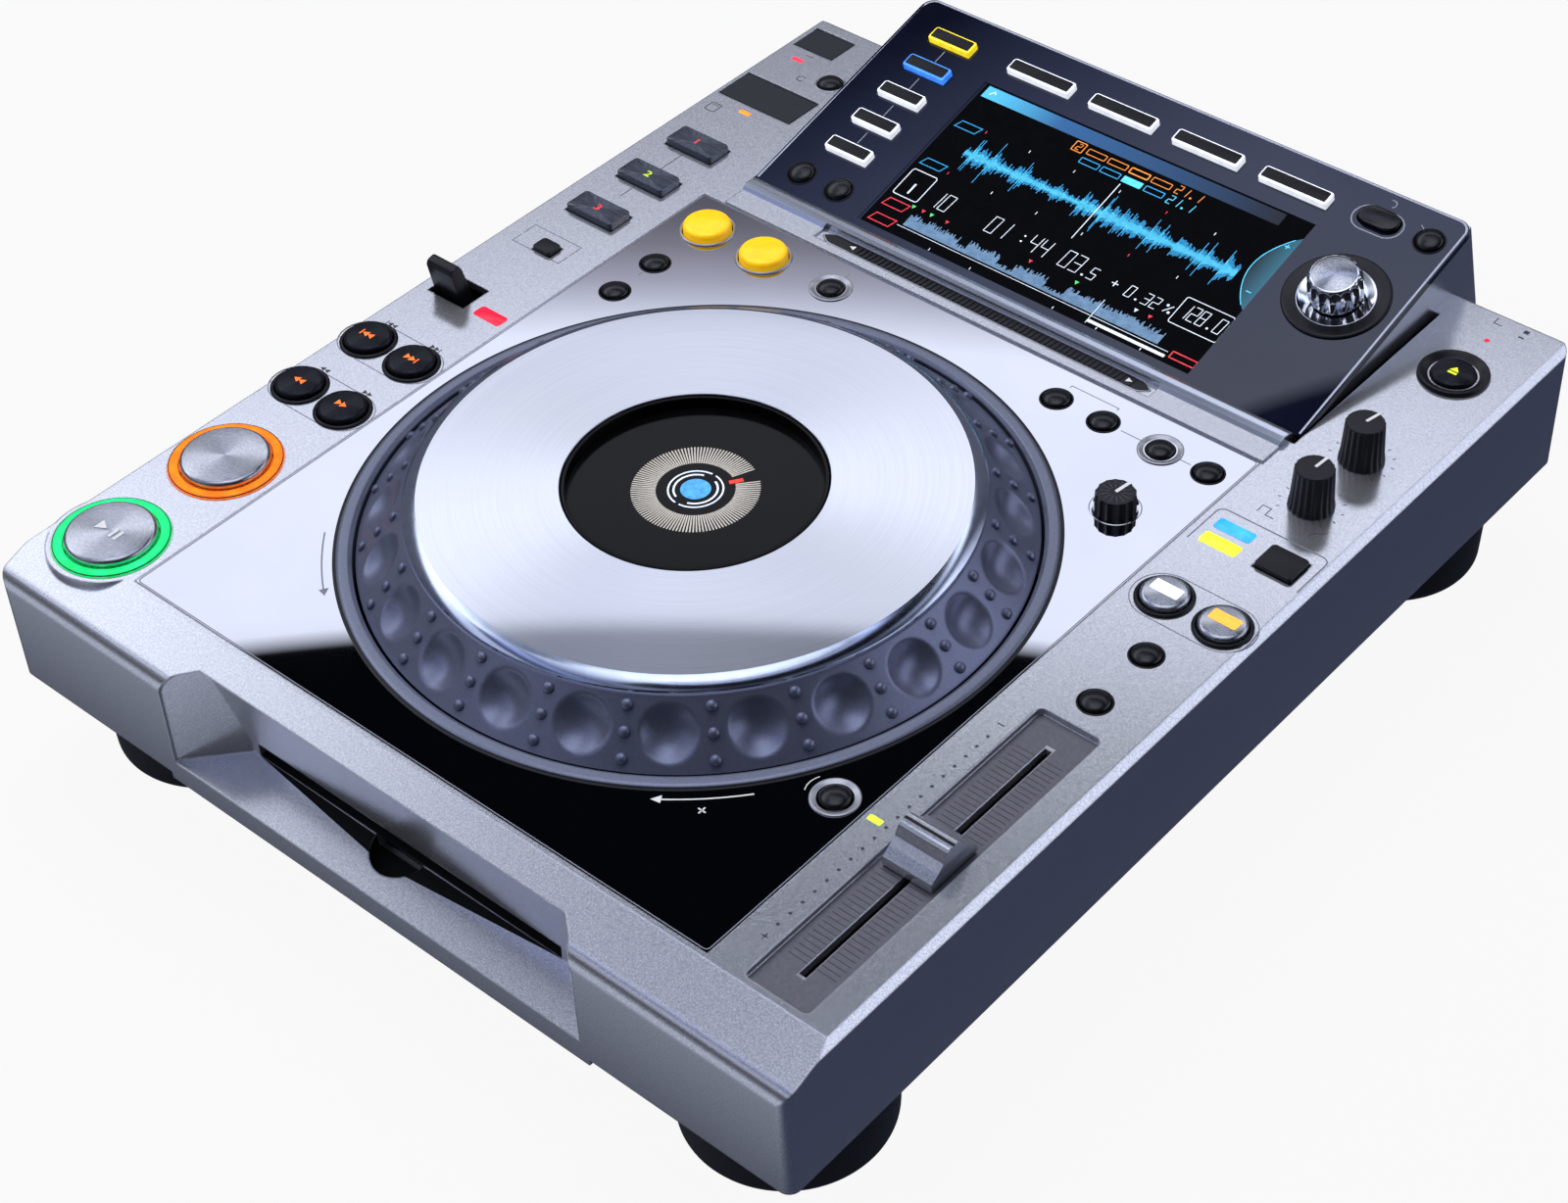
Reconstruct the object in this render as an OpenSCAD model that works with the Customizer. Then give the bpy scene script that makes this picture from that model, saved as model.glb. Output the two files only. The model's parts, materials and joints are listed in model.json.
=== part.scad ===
// Tabletop DJ disc and file player: slot-in disc loader, jog wheel, tilted display panel and tempo fader.
// +X is the right-hand side, +Y the back and +Z up. The origin is under the middle of the player, on the
// surface that its feet stand on.

/* [Body] */
// Width of the body
body_w = 320; // [312:1:330]
// Depth of the body from its front face to its rear face
body_d = 387; // [384:1:396]
// How far the display housing stands out behind the body
overhang = 19; // [16:0.5:22]
// Height of the deck above the surface that the feet stand on
deck_z = 78.2; // [76:0.2:84]
// Height of the body's lower edge, which is the height of the feet
skirt_z = 31; // [28:0.5:32]
// Wall thickness of the moulded top cover
wall = 3; // [2.6:0.1:3.4]
// Thickness of the cover's side walls
side_wall = 2.4; // [2:0.1:2.6]
// Length of the sloped front part of the deck
nose_len = 19; // [17:0.5:21]
// Drop of the sloped front part
nose_drop = 6.9; // [5:0.1:8]
// Rounding between the slope and the front face
nose_r = 6; // [4:0.5:7]
// Chamfer along the deck's side edges
edge_chamfer = 2.4; // [1.6:0.1:2.6]
// Rounding of the body's upright corners
corner_r = 4; // [3:0.5:6]
// Gap between a moving piece and the hole that it works in
key_gap = 0.4; // [0.35:0.05:0.5]
// Gap between fixed pieces that fit into each other
seat_gap = 0.2; // [0.1:0.05:0.3]
// Running clearance of a shaft in its bearing, on the radius
run_gap = 0.05; // [0.02:0.01:0.08]

/* [Bottom pan and feet] */
// Thickness of the steel pan
pan_t = 1.5; // [1.2:0.1:2]
// Radius of a foot at its top
foot_r = 33; // [28:0.5:33.5]
// Distance of the feet's middles from the body's sides
foot_in = 38; // [36:0.5:42]
// Distance of the front feet from the front face
foot_front = 41; // [38:0.5:50]
// Distance of the rear feet from the rear face
foot_back = 39; // [37:0.5:50]
// Rounding of a foot's lower edge
foot_round = 3; // [2:0.5:4]

/* [Centre plate] */
// Width of the deck to the left of the gloss plate
strip_left = 42.8; // [42:0.1:44]
// Width of the deck to the right of the gloss plate
strip_right = 45.2; // [44:0.1:46]
// Distance of the plate's front edge from the front face
plate_front = 20.9; // [20:0.1:22]
// Thickness of the gloss plate
plate_t = 2; // [1.6:0.1:2.2]
// Width of the ledge that the plate lies on
ledge = 3; // [2.5:0.5:3]

/* [Jog wheel] */
// Distance of the fixed bezel ring from the plate's front edge
jog_margin = 14.1; // [12:0.1:16]
// Least distance of the bezel ring from the plate's side edges
bezel_margin = 5.7; // [5:0.1:7]
// Room behind the bezel ring for the row of small buttons
row_room = 20.7; // [19:0.1:22]
// Width of the bezel ring with the gap to the dial
bezel_ring = 6; // [5.5:0.1:7]
// Width of the dial's slope with the finger dimples
slope_w = 15.8; // [15:0.1:17]
// Height of the aluminium plate's top above the deck
jog_h = 18.9; // [17:0.1:20]
// Width of the aluminium plate's polished bevel
bevel_w = 4.4; // [3.5:0.1:5]
// Thickness of the aluminium plate
top_t = 3.4; // [3:0.1:3.8]
// Radius of the fixed display drum
drum_r = 40.4; // [38:0.1:42]
// Radius of the fixed post that the dial turns on
post_r = 20; // [16:0.5:24]
// Number of finger dimples round the dial
dimples = 24; // [20:1:26]
// Radius of a dimple's outline
dimple_r = 8.4; // [7:0.1:9]
// Depth of a dimple
dimple_depth = 2.2; // [1.5:0.1:2.4]

/* [Front loader] */
// Width of the front recess at the front face
recess_w = 169; // [160:1:172]
// Depth of the recess from the front face to the disc slot
recess_d = 16; // [15:0.5:17]
// Distance of the recess's upper edge from the front face
recess_top = 9; // [8:0.5:11]
// Width of the disc slot
slot_w = 126; // [124:0.5:130]
// Height of the disc slot
slot_h = 5; // [4.8:0.1:5.5]
// Height of the slot's lower edge above the standing surface
slot_z = 41; // [40:0.2:42]
// How far the loading lip reaches below the body's lower edge
lip_drop = 2.4; // [1.5:0.1:3]
// Radius of the finger notch in the lip
notch_r = 10; // [8:0.5:11]

/* [Display housing] */
// Tilt of the display panel
tilt = 14.75; // [13.5:0.05:15.5]
// Distance of the panel's lower edge from the rear face
panel_back = 92.5; // [91:0.1:94]
// Width of the bar between the gloss plate and the panel
bar_w = 18.2; // [17:0.1:19]
// Distance of the display panel from the body's left side
panel_left = 50.05; // [49:0.05:51]
// Distance of the display panel from the body's right side
panel_right = 42.45; // [41.5:0.05:43.5]
// Length of the display panel, up its slope
panel_l = 100.6; // [99:0.1:101]
// Thickness of the display panel
panel_t = 2.4; // [2:0.1:3]
// Rounding of the panel's upper corners
panel_r = 5; // [3:0.5:6]
// How far the panel overhangs the housing's side walls
panel_rim = 2; // [1.5:0.1:2.5]
// Height of the housing's lower edge behind the body
housing_foot_z = 58; // [56:0.5:60]
// Wall thickness of the housing
housing_wall = 2.5; // [2:0.1:3]
// Width of the touch strip
strip_w = 140; // [130:1:144]
// Distance of the screen's window from the panel's side edges
screen_margin = 44.75; // [43:0.05:46]
// Height of the screen's window
lcd_h = 73; // [71:0.5:74]

/* [Transport buttons] */
// Distance of the left column of controls from the body's left side
left_in = 21.7; // [21:0.1:22.5]
// Distance of the play button from the front face
play_front = 29; // [28.5:0.1:30]
// Distance of the cue button from the front face
cue_front = 75.2; // [74:0.1:77]
// Outer radius of the lit rings
ring_r = 18.4; // [18:0.1:18.8]
// Radius of the play and cue caps
play_r = 14.4; // [14:0.1:14.6]
// Height of the play and cue caps
play_h = 3; // [2.5:0.1:3.5]
// Radius of the search buttons
search_r = 8; // [7.5:0.1:8.4]
// Spacing between two search buttons side by side
search_pitch = 20.3; // [20:0.1:21]
// Distance of the search buttons from the front face
search_front = 115.7; // [114:0.1:117]
// Distance of the track search buttons from the front face
track_front = 146.1; // [144:0.1:148]
// Height of the search buttons
search_h = 2.6; // [2:0.1:3]

/* [Cue memory buttons] */
// Width of a hot cue button
hot_w = 21.2; // [20:0.1:22]
// Depth of a hot cue button
hot_d = 10.4; // [9:0.1:11]
// Distance of the middle hot cue button from the front face
hot_front = 270.5; // [269:0.1:272]
// Spacing of the hot cue buttons
hot_pitch = 25.4; // [25:0.1:26]
// Distance of the call button from the front face
call_front = 219; // [217:0.1:221]
// Width of the call button
call_w = 7.8; // [7:0.1:9]

/* [Right-hand controls] */
// Distance of the right column of controls from the body's right side
right_in = 21.8; // [21.4:0.1:22.2]
// Distance of the eject button from the front face
eject_front = 350.6; // [349:0.1:352]
// Radius of the eject button
eject_r = 7.2; // [6.5:0.1:7.6]
// Distance of the two speed knobs' middle from the front face
knobs_front = 283.4; // [282:0.1:285]
// Spacing of the two speed knobs
knobs_pitch = 27.7; // [27:0.1:28.5]
// Radius of a speed knob's top
knob_r = 6.3; // [6:0.1:6.8]
// Height of a speed knob
knob_h = 15; // [13.5:0.5:16.5]
// Radius of the jog adjust knob's top
adjust_r = 5.9; // [5.5:0.1:6.4]
// Height of the jog adjust knob
adjust_h = 9.3; // [8.5:0.1:10.5]
// How much wider a knob is at its foot, on the radius
knob_flare = 1.1; // [0.6:0.1:1.4]
// Distance of the jog mode button from the front face
mode_front = 241; // [240:0.1:242]
// Distance of the sync and master buttons from the front face
sync_front = 208; // [207:0.1:209]
// Radius of the sync and master buttons
sync_r = 7.6; // [7:0.1:8]
// Spacing of the sync and master buttons
sync_pitch = 20.8; // [20:0.1:21.4]
// Distance of the tempo range button from the front face
range_front = 184.6; // [183:0.1:186]
// Distance of the master tempo button from the front face
tempo_front = 159.9; // [159:0.1:161]
// Radius of a small round button
small_r = 4.6; // [4.2:0.1:5]
// Height of a small round button
small_h = 1.6; // [1.2:0.1:2]

/* [Tempo fader] */
// Width of the fader's trough
trough_w = 22; // [21:0.1:23]
// Length of the fader's trough
trough_l = 127.4; // [126:0.2:128]
// Depth of the fader's trough
trough_d = 2.2; // [1.8:0.1:2.4]
// Distance of the fader's middle from the front face
fader_front = 85.1; // [84.5:0.1:86]
// Travel of the fader to either side of its middle
fader_travel = 50; // [45:1:50]
// Width of the fader's slot
fader_slot = 2.6; // [2.4:0.1:3]
// Length of the fader's cap
cap_l = 20; // [19:0.5:21]
// Width of the fader's cap
cap_w = 17; // [16:0.5:18]
// Height of the fader's cap above the deck
cap_h = 9; // [8:0.5:10]

/* [Lever, card slot and USB port] */
// Distance of the direction lever from the front face
lever_front = 183.8; // [183:0.1:185]
// Width of the direction lever
lever_w = 11.6; // [11:0.1:12.5]
// Height of the direction lever above the deck
lever_h = 13; // [12:0.5:14]
// Angle that the direction lever leans forward in its reverse position
lever_lean = 13; // [10:1:14]
// Width of the card door
door_w = 33.2; // [32:0.2:34]
// Depth of the card door
door_d = 16; // [15:0.2:17]
// Distance of the card door from the front face
door_front = 335.2; // [334:0.2:336]
// Width of the USB port's cover
usb_w = 17.8; // [17:0.2:19]
// Depth of the USB port's cover
usb_d = 13.2; // [12.5:0.1:14]
// Distance of the USB port's cover from the front face
usb_front = 374.8; // [374:0.2:375]

/* [Selector] */
// Distance of the selector from the panel's right edge
selector_in = 22.1; // [21:0.1:23]
// Distance of the selector from the panel's lower edge
selector_v = 53.4; // [52.5:0.1:54.5]
// Radius of the selector knob
selector_r = 9.2; // [8.6:0.1:10]
// Radius of the selector knob's flat top
selector_top_r = 7.9; // [7:0.1:8.4]
// Height of the selector knob
selector_h = 11.2; // [10:0.1:12.5]

/* [Hidden] */
$fn = 64;

// Every depth is measured from the front face, every height from the standing surface.
front_y = -(body_d + overhang) / 2;
left_x = -body_w / 2 + left_in;
right_x = body_w / 2 - right_in;
jog_x = (strip_left - strip_right) / 2;
eps = 0.01;
seat = 0.05;

// The controls of the two side strips keep their spacing in proportion to the body's depth.
standard_d = 387;
stretch = body_d / standard_d;

// Plate and panel fill what the strips and the bar leave, and the wheel is the largest that the plate takes.
plate_w = body_w - strip_left - strip_right;
panel_front = body_d - panel_back;
plate_l = panel_front - bar_w - plate_front;
bezel_r = min(plate_w / 2 - bezel_margin, (plate_l - jog_margin - row_room) / 2);
jog_front = plate_front + jog_margin + bezel_r;
dial_r = bezel_r - bezel_ring;
bevel_r = dial_r - slope_w;
top_r = bevel_r - bevel_w;
panel_w = body_w - panel_left - panel_right;
lcd_w = panel_w - 2 * screen_margin;

// How far the cuts reach below and above the deck
cut_low = 20;
cut_h = 30;

// Buttons: stem, flange and switch below the surface that the cap comes through.
key_travel = 0.8;
flange_t = 1.2;
flange_lip = 0.9;
flange_drop = 0.25;
stem_r = 2;
stem_len = 10;
switch_gap = 0.2;
switch_h = 3.5;
switch_w = 6;
board_t = 1.6;
board_drop = stem_len + key_travel + switch_gap + switch_h;

nose_angle = atan(nose_drop / nose_len);
nose_tangent = nose_r * tan((90 - nose_angle) / 2);
nose_top = deck_z - nose_drop;

// Frames of reference
module from_front(x, d, z = 0) {
    translate([x, front_y + d, z]) children();
}
module on_deck(x, d) {
    from_front(x, d, deck_z) children();
}
panel_x = (panel_left - panel_right) / 2;
panel_z = deck_z + seat_gap;
module on_panel(u, v) {
    from_front(panel_x, panel_front, panel_z) rotate([tilt, 0, 0]) translate([u, v, 0]) children();
}

// Prisms along X and along Y from outlines in the side view and the front view
module along_x(w) {
    rotate([90, 0, 90]) linear_extrude(w, center = true) children();
}
module along_y(l) {
    rotate([90, 0, 0]) linear_extrude(l, center = true) children();
}
module rounded(w, d, r) {
    square([w - 2 * r, d], center = true);
    square([w, d - 2 * r], center = true);
    for (sx = [-1, 1], sy = [-1, 1]) translate([sx * (w / 2 - r), sy * (d / 2 - r)]) circle(r);
}
module block(w, d, h) {
    translate([-w / 2, -d / 2, 0]) cube([w, d, h]);
}
module ring(r_out, r_in, h) {
    difference() {
        cylinder(r = r_out, h = h);
        translate([0, 0, -1]) cylinder(r = r_in, h = h + 2);
    }
}

// Where each control of the deck is: [x, distance from the front face]
play_at = [left_x, play_front * stretch];
cue_at = [left_x, cue_front * stretch];
search_back_at = [left_x - search_pitch / 2, search_front * stretch];
search_forward_at = [left_x + search_pitch / 2, search_front * stretch];
track_back_at = [left_x - search_pitch / 2, track_front * stretch];
track_forward_at = [left_x + search_pitch / 2, track_front * stretch];
hot_a_at = [left_x, (hot_front + hot_pitch) * stretch];
hot_b_at = [left_x, hot_front * stretch];
hot_c_at = [left_x, (hot_front - hot_pitch) * stretch];
call_at = [left_x + 0.6, call_front * stretch];
usb_stop_at = [left_x + 10.6, (door_front + 20.8) * stretch];
lever_d = lever_front * stretch;
eject_at = [right_x, eject_front * stretch];
mode_at = [right_x + 8.6, mode_front * stretch];
sync_at = [right_x - sync_pitch / 2, sync_front * stretch];
master_at = [right_x + sync_pitch / 2, sync_front * stretch];
range_at = [right_x, range_front * stretch];
tempo_at = [right_x, tempo_front * stretch];
knob_front_at = [right_x, (knobs_front - knobs_pitch / 2) * stretch];
knob_back_at = [right_x, (knobs_front + knobs_pitch / 2) * stretch];
fader_at = [right_x, fader_front * stretch];

// Controls on the gloss plate, placed from its side edges and from the row behind the wheel
plate_row = plate_front + plate_l - 14.1;
plate_left = jog_x - plate_w / 2;
plate_right = jog_x + plate_w / 2;
loop_in_at = [plate_left + 15, plate_row - 1];
loop_out_at = [plate_left + 40.6, plate_row - 1];
reloop_at = [plate_left + 69.6, plate_row];
loop_mode_at = [plate_left + 14, plate_row - 26.3];
slip_at = [plate_left + 14, plate_row - 46.1];
call_previous_at = [plate_right - 68.2, plate_row];
call_next_at = [plate_right - 49.7, plate_row];
delete_at = [plate_right - 27.6, plate_row];
memory_at = [plate_right - 9.6, plate_row];
adjust_at = [plate_right - 22.2, plate_row - 30.9];
reset_at = [plate_right - 10, plate_front + 63.9];
loop_r = 8.4;

// Controls on the panel: [across from its middle, up from its lower edge]
source_u = -panel_w / 2 + 22.55;
source_v = 85.5;
source_pitch = 14.9;
source_w = 18.2;
source_d = 5.8;
lcd_u = -0.3;
lcd_v = 3 + lcd_h / 2;
browse_u = lcd_u - lcd_w / 2 + 17.2;
browse_pitch = (lcd_w - 31.8) / 3;
browse_w = browse_pitch - 8.6;
browse_v = 86.2;
top_v = 87.7;
panel_key_h = 2;
back_at = [panel_w / 2 - 28.15, top_v];
tag_at = [panel_w / 2 - 9.15, top_v];
quantize_at = [source_u - 8.95, 9.8];
time_mode_at = [source_u + 7.85, 9.8];
selector_u = panel_w / 2 - selector_in;

// Outlines of the body
function arc(cx, cy, r, a0, a1, n) =
    [for (i = [0 : n]) [cx + r * cos(a0 + (a1 - a0) * i / n), cy + r * sin(a0 + (a1 - a0) * i / n)]];
nose_arc = arc(nose_r, nose_top - nose_tangent, nose_r, 180, 90 + nose_angle, 8);
body_side = concat([[0, skirt_z]], nose_arc, [[nose_len, deck_z], [body_d, deck_z], [body_d, skirt_z]]);
cavity_side = [
    [wall, skirt_z - 1], [wall, nose_top - wall], [nose_len, deck_z - wall],
    [body_d - wall, deck_z - wall], [body_d - wall, skirt_z - 1]
];
body_front = [
    [-body_w / 2, skirt_z], [-body_w / 2, deck_z - edge_chamfer], [-body_w / 2 + edge_chamfer, deck_z],
    [body_w / 2 - edge_chamfer, deck_z], [body_w / 2, deck_z - edge_chamfer], [body_w / 2, skirt_z]
];

module body_block() {
    intersection() {
        translate([0, front_y, 0]) along_x(body_w) polygon(body_side);
        from_front(0, body_d / 2) along_y(body_d) polygon(body_front);
        from_front(0, body_d / 2, skirt_z - 1) linear_extrude(deck_z) rounded(body_w, body_d, corner_r);
    }
}

// The front recess: its outline in the side view and in the plan
recess_x = jog_x + 0.2;
lip_front_z = slot_z - 4.3;
recess_z = deck_z - nose_drop * (nose_len - recess_top) / nose_len;
rim = 1.8;
recess_corner_r = 10;
recess_side = [
    [-1, lip_front_z], [recess_d, slot_z], [recess_d, slot_z + slot_h], [recess_top + rim, recess_z - rim],
    [recess_top, recess_z], [-1, recess_z]
];
recess_plan = [
    [-recess_w / 2, -1], [recess_w / 2, -1], [recess_w / 2, 1], [slot_w / 2 + 3, recess_d + eps],
    [-slot_w / 2 - 3, recess_d + eps], [-recess_w / 2, 1]
];
tub_d = recess_d + wall;
notch_x = recess_x - 2.5;
notch_drop = 6;
module loader_tub() {
    from_front(recess_x, tub_d / 2, skirt_z - lip_drop) block(recess_w + 2 * wall, tub_d, deck_z);
}
module recess_cut() {
    intersection() {
        translate([recess_x, front_y, 0]) along_x(recess_w + 2) polygon(recess_side);
        from_front(recess_x, 0, skirt_z - 10) linear_extrude(deck_z) polygon(recess_plan);
        from_front(recess_x, 0, 0) along_y(2 * tub_d) {
            translate([0, recess_z / 2]) rounded(recess_w + 0.1, recess_z, recess_corner_r);
        }
    }
    from_front(recess_x, recess_d + wall / 2, slot_z) block(slot_w, 2 * wall, slot_h);
    from_front(notch_x, recess_d + 1, slot_z - notch_drop) cylinder(r = notch_r, h = slot_h + notch_drop - 1);
}

// Round and rectangular holes for the keys of the deck, with the cap's radius or size
round_keys = [
    [play_at, ring_r - key_gap], [cue_at, ring_r - key_gap], [search_back_at, search_r],
    [search_forward_at, search_r], [track_back_at, search_r], [track_forward_at, search_r],
    [usb_stop_at, small_r], [eject_at, eject_r], [sync_at, sync_r], [master_at, sync_r],
    [range_at, small_r], [tempo_at, small_r]
];
mode_w = 13;
mode_d = 10.8;
rect_keys = [
    [hot_a_at, [hot_w, hot_d]], [hot_b_at, [hot_w, hot_d]], [hot_c_at, [hot_w, hot_d]],
    [call_at, [call_w, 6.2]], [mode_at, [mode_w, mode_d]]
];
plate_keys = [
    [loop_in_at, loop_r], [loop_out_at, loop_r], [reloop_at, small_r], [loop_mode_at, small_r],
    [slip_at, small_r], [call_previous_at, small_r], [call_next_at, small_r], [delete_at, small_r],
    [memory_at, small_r], [reset_at, small_r]
];
shaft_r = 3;
shaft_drop = 12;
pot_r = 8;
pot_h = 6;
boss_r = ring_r + 2;
trough_len = trough_l * stretch;
lever_slot_w = 16.7;
lever_slot_d = 12.3;
lever_slot_x = left_x - 6.5;
door_at = [left_x - 0.9, door_front * stretch];
usb_at = [left_x - 8.2, usb_front * stretch];
door_t = 1.5;
card_port = [25, 2.6];
usb_port = [12.6, 5];
door_pin_r = 0.5;
door_pin_len = 1.2;
window_w = panel_w + 2 * key_gap;
window_front = panel_front - 4;
window_back = body_d - 12;
jack_top = housing_foot_z - 0.5;
jack_w = body_w - 20;

// Silver moulded shell: deck, sides, sloped front with the loading recess and lip, boss and trough
module top_cover() color("silver") difference() {
    union() {
        difference() {
            body_block();
            difference() {
                translate([0, front_y, 0]) along_x(body_w - 2 * side_wall) polygon(cavity_side);
                loader_tub();
            }
        }
        intersection() {
            loader_tub();
            from_front(0, 0, skirt_z - lip_drop) translate([-body_w / 2, 0, 0]) cube([body_w, tub_d, 10]);
        }
        on_deck(play_at[0], play_at[1]) translate([0, 0, -10]) cylinder(r = boss_r, h = 10);
        on_deck(fader_at[0], fader_at[1]) translate([0, 0, -wall - trough_d]) {
            block(trough_w + 4, trough_len + 4, wall);
        }
    }
    recess_cut();
    // seat and opening for the gloss plate
    on_deck(jog_x, plate_front + plate_l / 2) {
        translate([0, 0, -plate_t]) block(plate_w + 2 * seat_gap, plate_l + 2 * seat_gap, cut_h);
        translate([0, 0, -cut_low]) block(plate_w - 2 * ledge, plate_l - 2 * ledge, cut_h);
    }
    // opening under the display housing
    from_front(panel_x, (window_front + window_back) / 2, deck_z - 10) {
        block(window_w, window_back - window_front, 20);
    }
    // opening for the jack panel
    from_front(0, body_d, skirt_z - 1) block(jack_w, 4 * wall, jack_top - skirt_z + 1);
    // holes for the keys
    for (k = round_keys) on_deck(k[0][0], k[0][1]) translate([0, 0, -cut_low]) {
        cylinder(r = k[1] + key_gap, h = cut_h);
    }
    for (k = rect_keys) on_deck(k[0][0], k[0][1]) translate([0, 0, -cut_low]) {
        block(k[1][0] + 2 * key_gap, k[1][1] + 2 * key_gap, cut_h);
    }
    for (k = [knob_front_at, knob_back_at]) on_deck(k[0], k[1]) translate([0, 0, -cut_low]) {
        cylinder(r = shaft_r + key_gap, h = cut_h);
    }
    // trough and slot of the fader
    on_deck(fader_at[0], fader_at[1]) {
        translate([0, 0, -trough_d]) linear_extrude(cut_h) rounded(trough_w, trough_len, 2);
        translate([0, 0, -cut_low]) block(fader_slot, 2 * fader_travel + 6, cut_h);
    }
    // slot of the lever, seats of the two doors
    on_deck(lever_slot_x, lever_d) translate([0, 0, -cut_low]) block(lever_slot_w, lever_slot_d, cut_h);
    door_seat(door_at, door_w, door_d, card_port);
    door_seat(usb_at, usb_w, usb_d, usb_port);
}

module door_pin(w, d, r) {
    translate([0, d / 2 - door_t / 2, -door_t / 2]) rotate([0, 90, 0]) {
        cylinder(r = r, h = w + 2 * door_pin_len, center = true);
    }
}
module door_seat(at, w, d, port) {
    on_deck(at[0], at[1]) {
        translate([0, 0, -door_t - seat_gap]) block(w + 2 * key_gap, d + 2 * key_gap, cut_h);
        translate([0, 0, -cut_low]) block(port[0], port[1], cut_h);
        door_pin(w, d, door_pin_r + run_gap);
    }
}

// Pan with the jack panel folded up at its back
pan_w = body_w - 2 * side_wall - 2 * seat_gap;
pan_d = body_d - 2 * wall - 2 * seat_gap;
module pan() difference() {
    union() {
        from_front(0, body_d / 2, skirt_z) block(pan_w, pan_d, pan_t);
        from_front(0, body_d - wall / 2 - 0.5, skirt_z) {
            block(jack_w - 2 * seat_gap, wall + 1, jack_top - skirt_z - seat_gap);
        }
    }
    from_front(recess_x, 0, skirt_z - 1) block(recess_w + 2 * wall + 1, 2 * tub_d + 1, pan_t + 2);
    for (p = jack_holes) from_front(p[0], body_d, jack_z) rotate([90, 0, 0]) {
        translate([0, 0, -1]) cylinder(r = p[1] + seat_gap, h = wall + 3);
    }
    for (p = port_holes) from_front(p[0], body_d - wall / 2, jack_z - p[2] / 2 - seat_gap) {
        block(p[1] + 2 * seat_gap, 2 * wall + 2, p[2] + 2 * seat_gap);
    }
}

// Four tall round rubber feet with rounded lower edges
module feet() color("#30343a") {
    for (s = [-1, 1], d = [foot_front, body_d - foot_back]) {
        from_front(s * (body_w / 2 - foot_in), d) rotate_extrude() polygon(concat(
            [[0, 0]], arc(foot_r - 1 - foot_round, foot_round, foot_round, -90, 0, 6),
            [[foot_r, skirt_z], [0, skirt_z]]
        ));
    }
}

// Gloss plate round the wheel, with its round openings
module center_plate() color("#202226") difference() {
    on_deck(jog_x, plate_front + plate_l / 2) translate([0, 0, -plate_t]) block(plate_w, plate_l, plate_t);
    on_deck(jog_x, jog_front) translate([0, 0, -cut_low]) cylinder(r = bezel_r - 2, h = cut_h, $fn = 128);
    for (k = plate_keys) on_deck(k[0][0], k[0][1]) translate([0, 0, -cut_low]) {
        cylinder(r = k[1] + key_gap, h = cut_h);
    }
    on_deck(adjust_at[0], adjust_at[1]) translate([0, 0, -cut_low]) {
        cylinder(r = shaft_r + key_gap, h = cut_h);
    }
}

// The wheel's dial: cone with finger dimples, web and hub
dial_low = -7;
dial_edge = -0.7;
shelf_z = jog_h - top_t;
hub_low = -12;
web_top = 2;
web_low = -1;
cone_angle = atan((shelf_z - dial_edge) / (dial_r - bevel_r));
cone_mid_r = (dial_r + bevel_r) / 2 - 0.2;
cone_mid_z = (shelf_z + dial_edge) / 2 + 0.2;
dimple_ball = (dimple_r * dimple_r + dimple_depth * dimple_depth) / (2 * dimple_depth);
dial_t = 3;
shift_r = dial_t * sin(cone_angle);
shift_z = dial_t * cos(cone_angle);
module jog_dial() color("slategray") on_deck(jog_x, jog_front) difference() {
    rotate_extrude($fn = 128) polygon([
        [post_r + run_gap, hub_low], [post_r + 5, hub_low], [post_r + 5, web_low],
        [dial_r - dial_t, web_low], [dial_r - dial_t, dial_low], [dial_r, dial_low], [dial_r, dial_edge],
        [bevel_r, shelf_z], [bevel_r - 9, shelf_z], [bevel_r - 9, shelf_z - dial_t],
        [bevel_r - shift_r + 0.6, shelf_z - dial_t],
        [dial_r - shift_r - (web_top - dial_edge + shift_z) / tan(cone_angle), web_top],
        [post_r + run_gap, web_top]
    ]);
    for (i = [0 : dimples - 1]) rotate([0, 0, (i + 0.5) * 360 / dimples]) {
        translate([cone_mid_r, 0, cone_mid_z]) rotate([0, 90 - cone_angle, 0]) {
            translate([0, 0, dimple_ball - dimple_depth]) sphere(r = dimple_ball);
        }
    }
}

// Aluminium top ring of the wheel with its polished bevel
module jog_plate() color("gainsboro") on_deck(jog_x, jog_front) rotate_extrude($fn = 128) polygon(concat(
    [[drum_r + 0.5, shelf_z], [bevel_r, shelf_z]],
    [for (i = [1 : 5]) [bevel_r - (bevel_r - top_r) * (1 - cos(18 * i)), shelf_z + top_t * sin(18 * i)]],
    [[drum_r + 0.5, jog_h]]
));

// Fixed pieces of the wheel: the display drum on its hollow post, and the ring that slopes to the gap
post_low = -board_drop - board_t - 0.4;
bezel_in = dial_r + 0.9;
bezel_drop = 12;
module jog_display() color("black") on_deck(jog_x, jog_front) {
    rotate_extrude($fn = 128) polygon([
        [post_r - 4, post_low], [post_r + 3, post_low], [post_r + 3, hub_low - 0.1], [post_r, hub_low - 0.1],
        [post_r, web_top + 1], [drum_r, web_top + 1], [drum_r, jog_h - 0.2], [0, jog_h - 0.2],
        [0, web_top + 5], [post_r - 4, web_top + 5]
    ]);
    rotate_extrude($fn = 128) polygon([
        [bezel_r, 0], [bezel_r, 0.4], [bezel_r - 0.8, 0.7], [bezel_in, -2.2], [bezel_in, -bezel_drop],
        [bezel_r - 2.3, -bezel_drop], [bezel_r - 2.3, 0]
    ]);
}

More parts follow.
